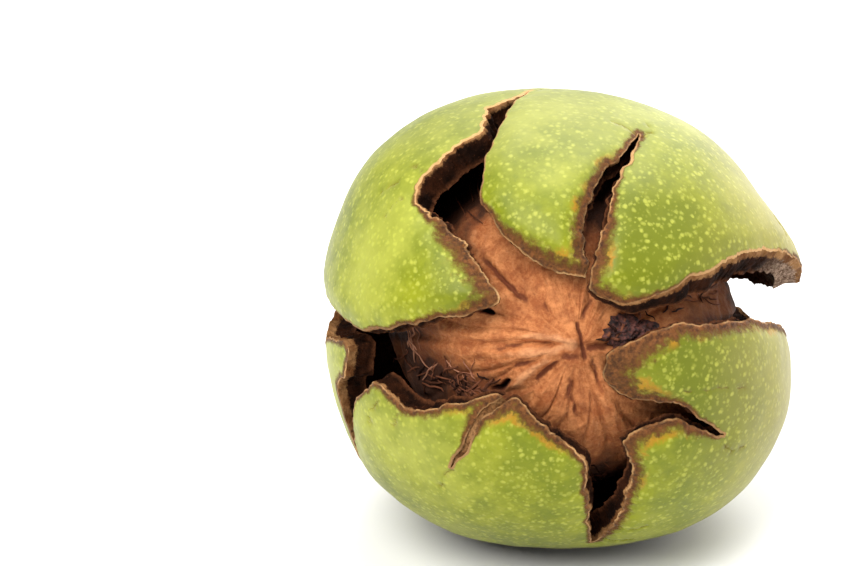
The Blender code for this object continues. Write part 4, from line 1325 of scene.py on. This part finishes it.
def flesh_material():
    """The torn wall and the lining: flesh gone brown-black, with paler shreds and painted light
    above.
    """
    s = Shader("husk_flesh_fine")
    depth = s.value("depth")
    broad = s.noise(s.mm, 2.4, 3.0, 0.6)
    shreds = s.noise(s.vector("MULTIPLY", s.mm, (1.0, 0.35, 1.0)), 0.35, 4.0, 0.7)
    colour = s.mix(s.ramp(broad, 0.35, 0.68), *FLESH_DARKS)
    colour = s.mix(s.ramp(shreds, 0.58, 0.78, 0.0, 0.55), colour, FLESH_SHREDS)
    inside = s.ramp(depth, 0.75, 1.0) * s.ramp(shreds, 0.3, 0.7, 0.4, 1.0)
    colour = s.mix(inside, colour, LINING_BROWN)
    colour = s.mix(s.value("pale"), colour, s.mix(s.ramp(shreds, 0.35, 0.65), *FLARED_GREYS))
    deep = depth + (shreds - 0.5) * 0.35
    # Painted light: the wall's upper part, down to the depth in lit, is painted pale tan
    upper = s.ramp(deep - s.value("lit"), -0.05, 0.06, 1.0, 0.0)
    colour = s.mix(upper * 0.9, colour, s.mix(s.ramp(broad, 0.35, 0.65), *PAINTED_LIT_WALL_TANS))
    height = shreds + s.noise(s.mm, 0.8, 3.0, 0.6)
    return s.finish(colour, 0.8, s.bump(height, 1.0, 0.3), Specular_IOR_Level=0.06)


def shell_material():
    """The nut's orange-brown shell, wrinkled from tip to stem, with painted shade by the husk and in
    hollows.
    """
    s = Shader("nut_shell_fine")
    colatitude, fine = s.value("colatitude"), s.value("fine")
    turned = s.value("azimuth") + s.noise(s.mm, 3.0) * 0.25
    ways = {0: s.math("COSINE", turned), 1: s.math("SINE", turned), 2: colatitude * 0.5}
    grain = s.node("ShaderNodeCombineXYZ", 0, ways)
    streaks = s.noise(grain, 0.11, 4.0, 0.65)
    hairs = s.noise(grain, 0.030, 3.0, 0.6)
    blotches = s.noise(s.mm, 2.4, 4.0, 0.65)
    speckle = s.noise(s.mm, 0.38, 4.0, 0.7)
    tone = streaks * 0.30 + blotches * 0.40 + speckle * 0.30
    colour = s.mix(s.ramp(tone, 0.40, 0.60), *SHELL_BROWNS)
    away = s.ramp(colatitude, 0.1, 0.5)
    colour = s.mix(away * s.ramp(hairs, 0.56, 0.74, 0.0, 0.3), colour, SHELL_HAIRS)
    colour = s.mix(s.ramp(fine, 0.14, 0.46) * 0.45, colour, SHELL_RIDGES)
    mottle = s.ramp(s.noise(s.mm, 1.1, 4.0, 0.7), 0.42, 0.66, 0.0, 0.5)
    colour = s.mix(mottle, colour, SHELL_MOTTLE)
    # Painted shade in the shell's crevices and furrows, and painted shadow in its deepest hollows
    crevice_shade = s.ramp(fine + (speckle - 0.5) * 0.2, 0.0, -0.30)
    colour = s.mix(crevice_shade * 0.85, colour, SHELL_PAINTED_CREVICE_SHADE)
    colour = s.mix(s.ramp(fine, -0.42, -0.85), colour, SHELL_PAINTED_HOLLOW_SHADOW)
    colour = s.mix(s.ramp(s.value("form"), 0.0, -0.7) * 0.32, colour, SHELL_PAINTED_FURROW_SHADE)
    # Painted shade under and beside the husk, darkest where it is deepest
    shade_mask = s.value("stain") + (blotches - 0.5) * 0.9 + (streaks - 0.5) * 0.5
    colour = s.mix(s.ramp(shade_mask, 0.15, 0.75, 0.0, 0.72), colour, SHELL_PAINTED_SHADE)
    colour = s.mix(s.ramp(shade_mask, 0.7, 1.1, 0.0, 0.85), colour, SHELL_PAINTED_DEEP_SHADE)
    height = streaks * 0.8 + speckle * 1.0 + hairs * 0.4
    return s.finish(colour, 0.75, s.bump(height, 0.9, 0.22), Specular_IOR_Level=0.18)


def strand_material(name, dark, light):
    """Dry strands of flesh, each of its own shade."""
    s = Shader(name)
    tone = s.value("shade") * 0.7 + s.noise(s.mm, 0.5, 3.0, 0.6) * 0.4
    colour = s.mix(s.ramp(tone, 0.2, 0.85), dark, light)
    normal = s.bump(s.noise(s.mm, 0.12), 0.6, 0.08)
    return s.finish(colour, 0.7, normal, Specular_IOR_Level=0.1)


def shred_material():
    """The dark shred of flesh on the nut: purple-black, wet in places."""
    s = Shader("shred")
    broad = s.noise(s.mm, 0.7, 4.0, 0.7)
    fine = s.noise(s.mm, 0.2, 3.0, 0.7)
    colour = s.mix(s.ramp(broad, 0.4, 0.62), *SHRED_DARKS)
    colour = s.mix(s.ramp(fine, 0.56, 0.72, 0.0, 0.6), colour, SHRED_FLECKS)
    normal = s.bump(broad + fine * 0.5, 1.0, 0.3)
    return s.finish(colour, s.ramp(fine, 0.3, 0.7, 0.45, 0.8), normal, Specular_IOR_Level=0.35)


def floor_material():
    return Shader("floor").finish(FLOOR_GREY, 0.7, Specular_IOR_Level=0.1)


# Setting the scene


def add_husk():
    points, faces, values, slots = husk_piece()
    piece = add_piece("husk_fine", points, faces, values, [skin_material(), flesh_material()],
                      "husk_skin", node="husk", slots=slots)
    piece.data.set_sharp_from_angle(angle=math.radians(60.0))


def add_nut():
    add_piece("nut_fine", *nut_piece(), [shell_material()], "nut_shell", node="nut")


def add_remnants():
    """What the husk left: strands and the shred on the nut, and flesh in the narrow slit."""
    for name, dark, random_seed, slot, dark_colour, light_colour in STRAND_KINDS:
        finish = strand_material(name, dark_colour, light_colour)
        add_piece(name, *strands_piece(dark, random_seed), [finish], slot)
    points, faces = slit_filling()
    values = {key: np.full(len(points), value) for key, value in FILLING_VALUES.items()}
    flesh = bpy.data.materials["husk_flesh_fine"]
    add_piece("slit_filling_0", points, faces, values, [flesh], "husk_skin")
    add_piece("shred", *shred_piece(), {}, [shred_material()], "husk_skin")


def add_floor():
    mesh = bpy.data.meshes.new("floor")
    corners = [(FLOOR_HALF * x, FLOOR_HALF * y, 0) for x, y in ((-1, -1), (1, -1), (1, 1), (-1, 1))]
    mesh.from_pydata(corners, [], [(0, 1, 2, 3)])
    mesh.materials.append(floor_material())
    floor = bpy.data.objects.new("floor", mesh)
    bpy.context.scene.collection.objects.link(floor)


def way_from(azimuth, elevation):
    """The way out from the fruit at angles in degrees, the azimuth from the front to the right."""
    turn, rise = math.radians(azimuth), math.radians(elevation)
    return Vector((math.sin(turn) * math.cos(rise), -math.cos(turn) * math.cos(rise),
                   math.sin(rise)))


def add_camera():
    """The photograph's camera: its angle, and the fruit at its place and size in the frame."""
    back = way_from(CAMERA_AZIMUTH, CAMERA_ELEVATION)
    azimuth = math.radians(CAMERA_AZIMUTH)
    right = Vector((math.cos(azimuth), math.sin(azimuth), 0.0))
    view = Matrix((right, back.cross(right), back)).transposed()
    tangent = FRUIT_RADIUS_SEEN / math.sqrt(CAMERA_DISTANCE**2 - FRUIT_RADIUS_SEEN**2)
    focal_pixels = FRUIT_PIXELS_RADIUS / tangent
    off_centre = Vector(((FRUIT_PIXEL[0] - FRAME_WIDTH / 2) / focal_pixels,
                         (FRAME_HEIGHT / 2 - FRUIT_PIXEL[1]) / focal_pixels, -1.0))
    aim = off_centre.normalized().rotation_difference(Vector((0.0, 0.0, -1.0))).to_matrix()
    camera = bpy.data.cameras.new("camera")
    camera.sensor_width = SENSOR_WIDTH
    camera.lens = SENSOR_WIDTH * focal_pixels / FRAME_WIDTH
    camera.clip_start = 0.01
    holder = bpy.data.objects.new("camera", camera)
    bpy.context.scene.collection.objects.link(holder)
    eye = fruit_place().translation + back * CAMERA_DISTANCE * MM
    holder.matrix_world = Matrix.Translation(eye) @ (view @ aim).to_4x4()
    bpy.context.scene.camera = holder


def add_light(name, azimuth, elevation, brightness, size, colour):
    """A square softbox that lights a surface facing it by brightness; its size is in metres."""
    way = way_from(azimuth, elevation)
    light = bpy.data.lights.new(name, "AREA")
    light.size = size
    light.energy = brightness * (math.pi * LIGHT_DISTANCE) ** 2
    light.color = colour
    holder = bpy.data.objects.new(name, light)
    bpy.context.scene.collection.objects.link(holder)
    facing = way.to_track_quat("Z", "Y").to_matrix().to_4x4()
    holder.matrix_world = Matrix.Translation(way * LIGHT_DISTANCE) @ facing


def surroundings():
    """White all round, dimmer in front and on the left than behind and on the right."""
    world = bpy.data.worlds.new("world")
    world.use_nodes = True
    nodes, links = world.node_tree.nodes, world.node_tree.links
    where = nodes.new("ShaderNodeVectorMath")
    where.operation = "DOT_PRODUCT"
    where.inputs[1].default_value = BRIGHT_WAY
    links.new(nodes.new("ShaderNodeTexCoord").outputs["Generated"], where.inputs[0])
    strength = nodes.new("ShaderNodeMapRange")
    strength.inputs["From Min"].default_value = -1.0
    strength.inputs["To Min"].default_value, strength.inputs["To Max"].default_value = SURROUNDINGS
    links.new(where.outputs["Value"], strength.inputs["Value"])
    background = nodes["Background"]
    background.inputs["Color"].default_value = (1.0, 1.0, 1.0, 1.0)
    links.new(strength.outputs[0], background.inputs["Strength"])
    return world


def add_lights():
    for name, azimuth, elevation, brightness, size, colour in LIGHTS:
        add_light(name, azimuth, elevation, brightness, size, colour)
    bpy.context.scene.world = surroundings()
    bpy.context.scene.view_settings.view_transform = "Standard"
    bpy.context.scene.view_settings.look = "None"


add_husk()
add_nut()
add_remnants()
add_floor()
add_camera()
add_lights()
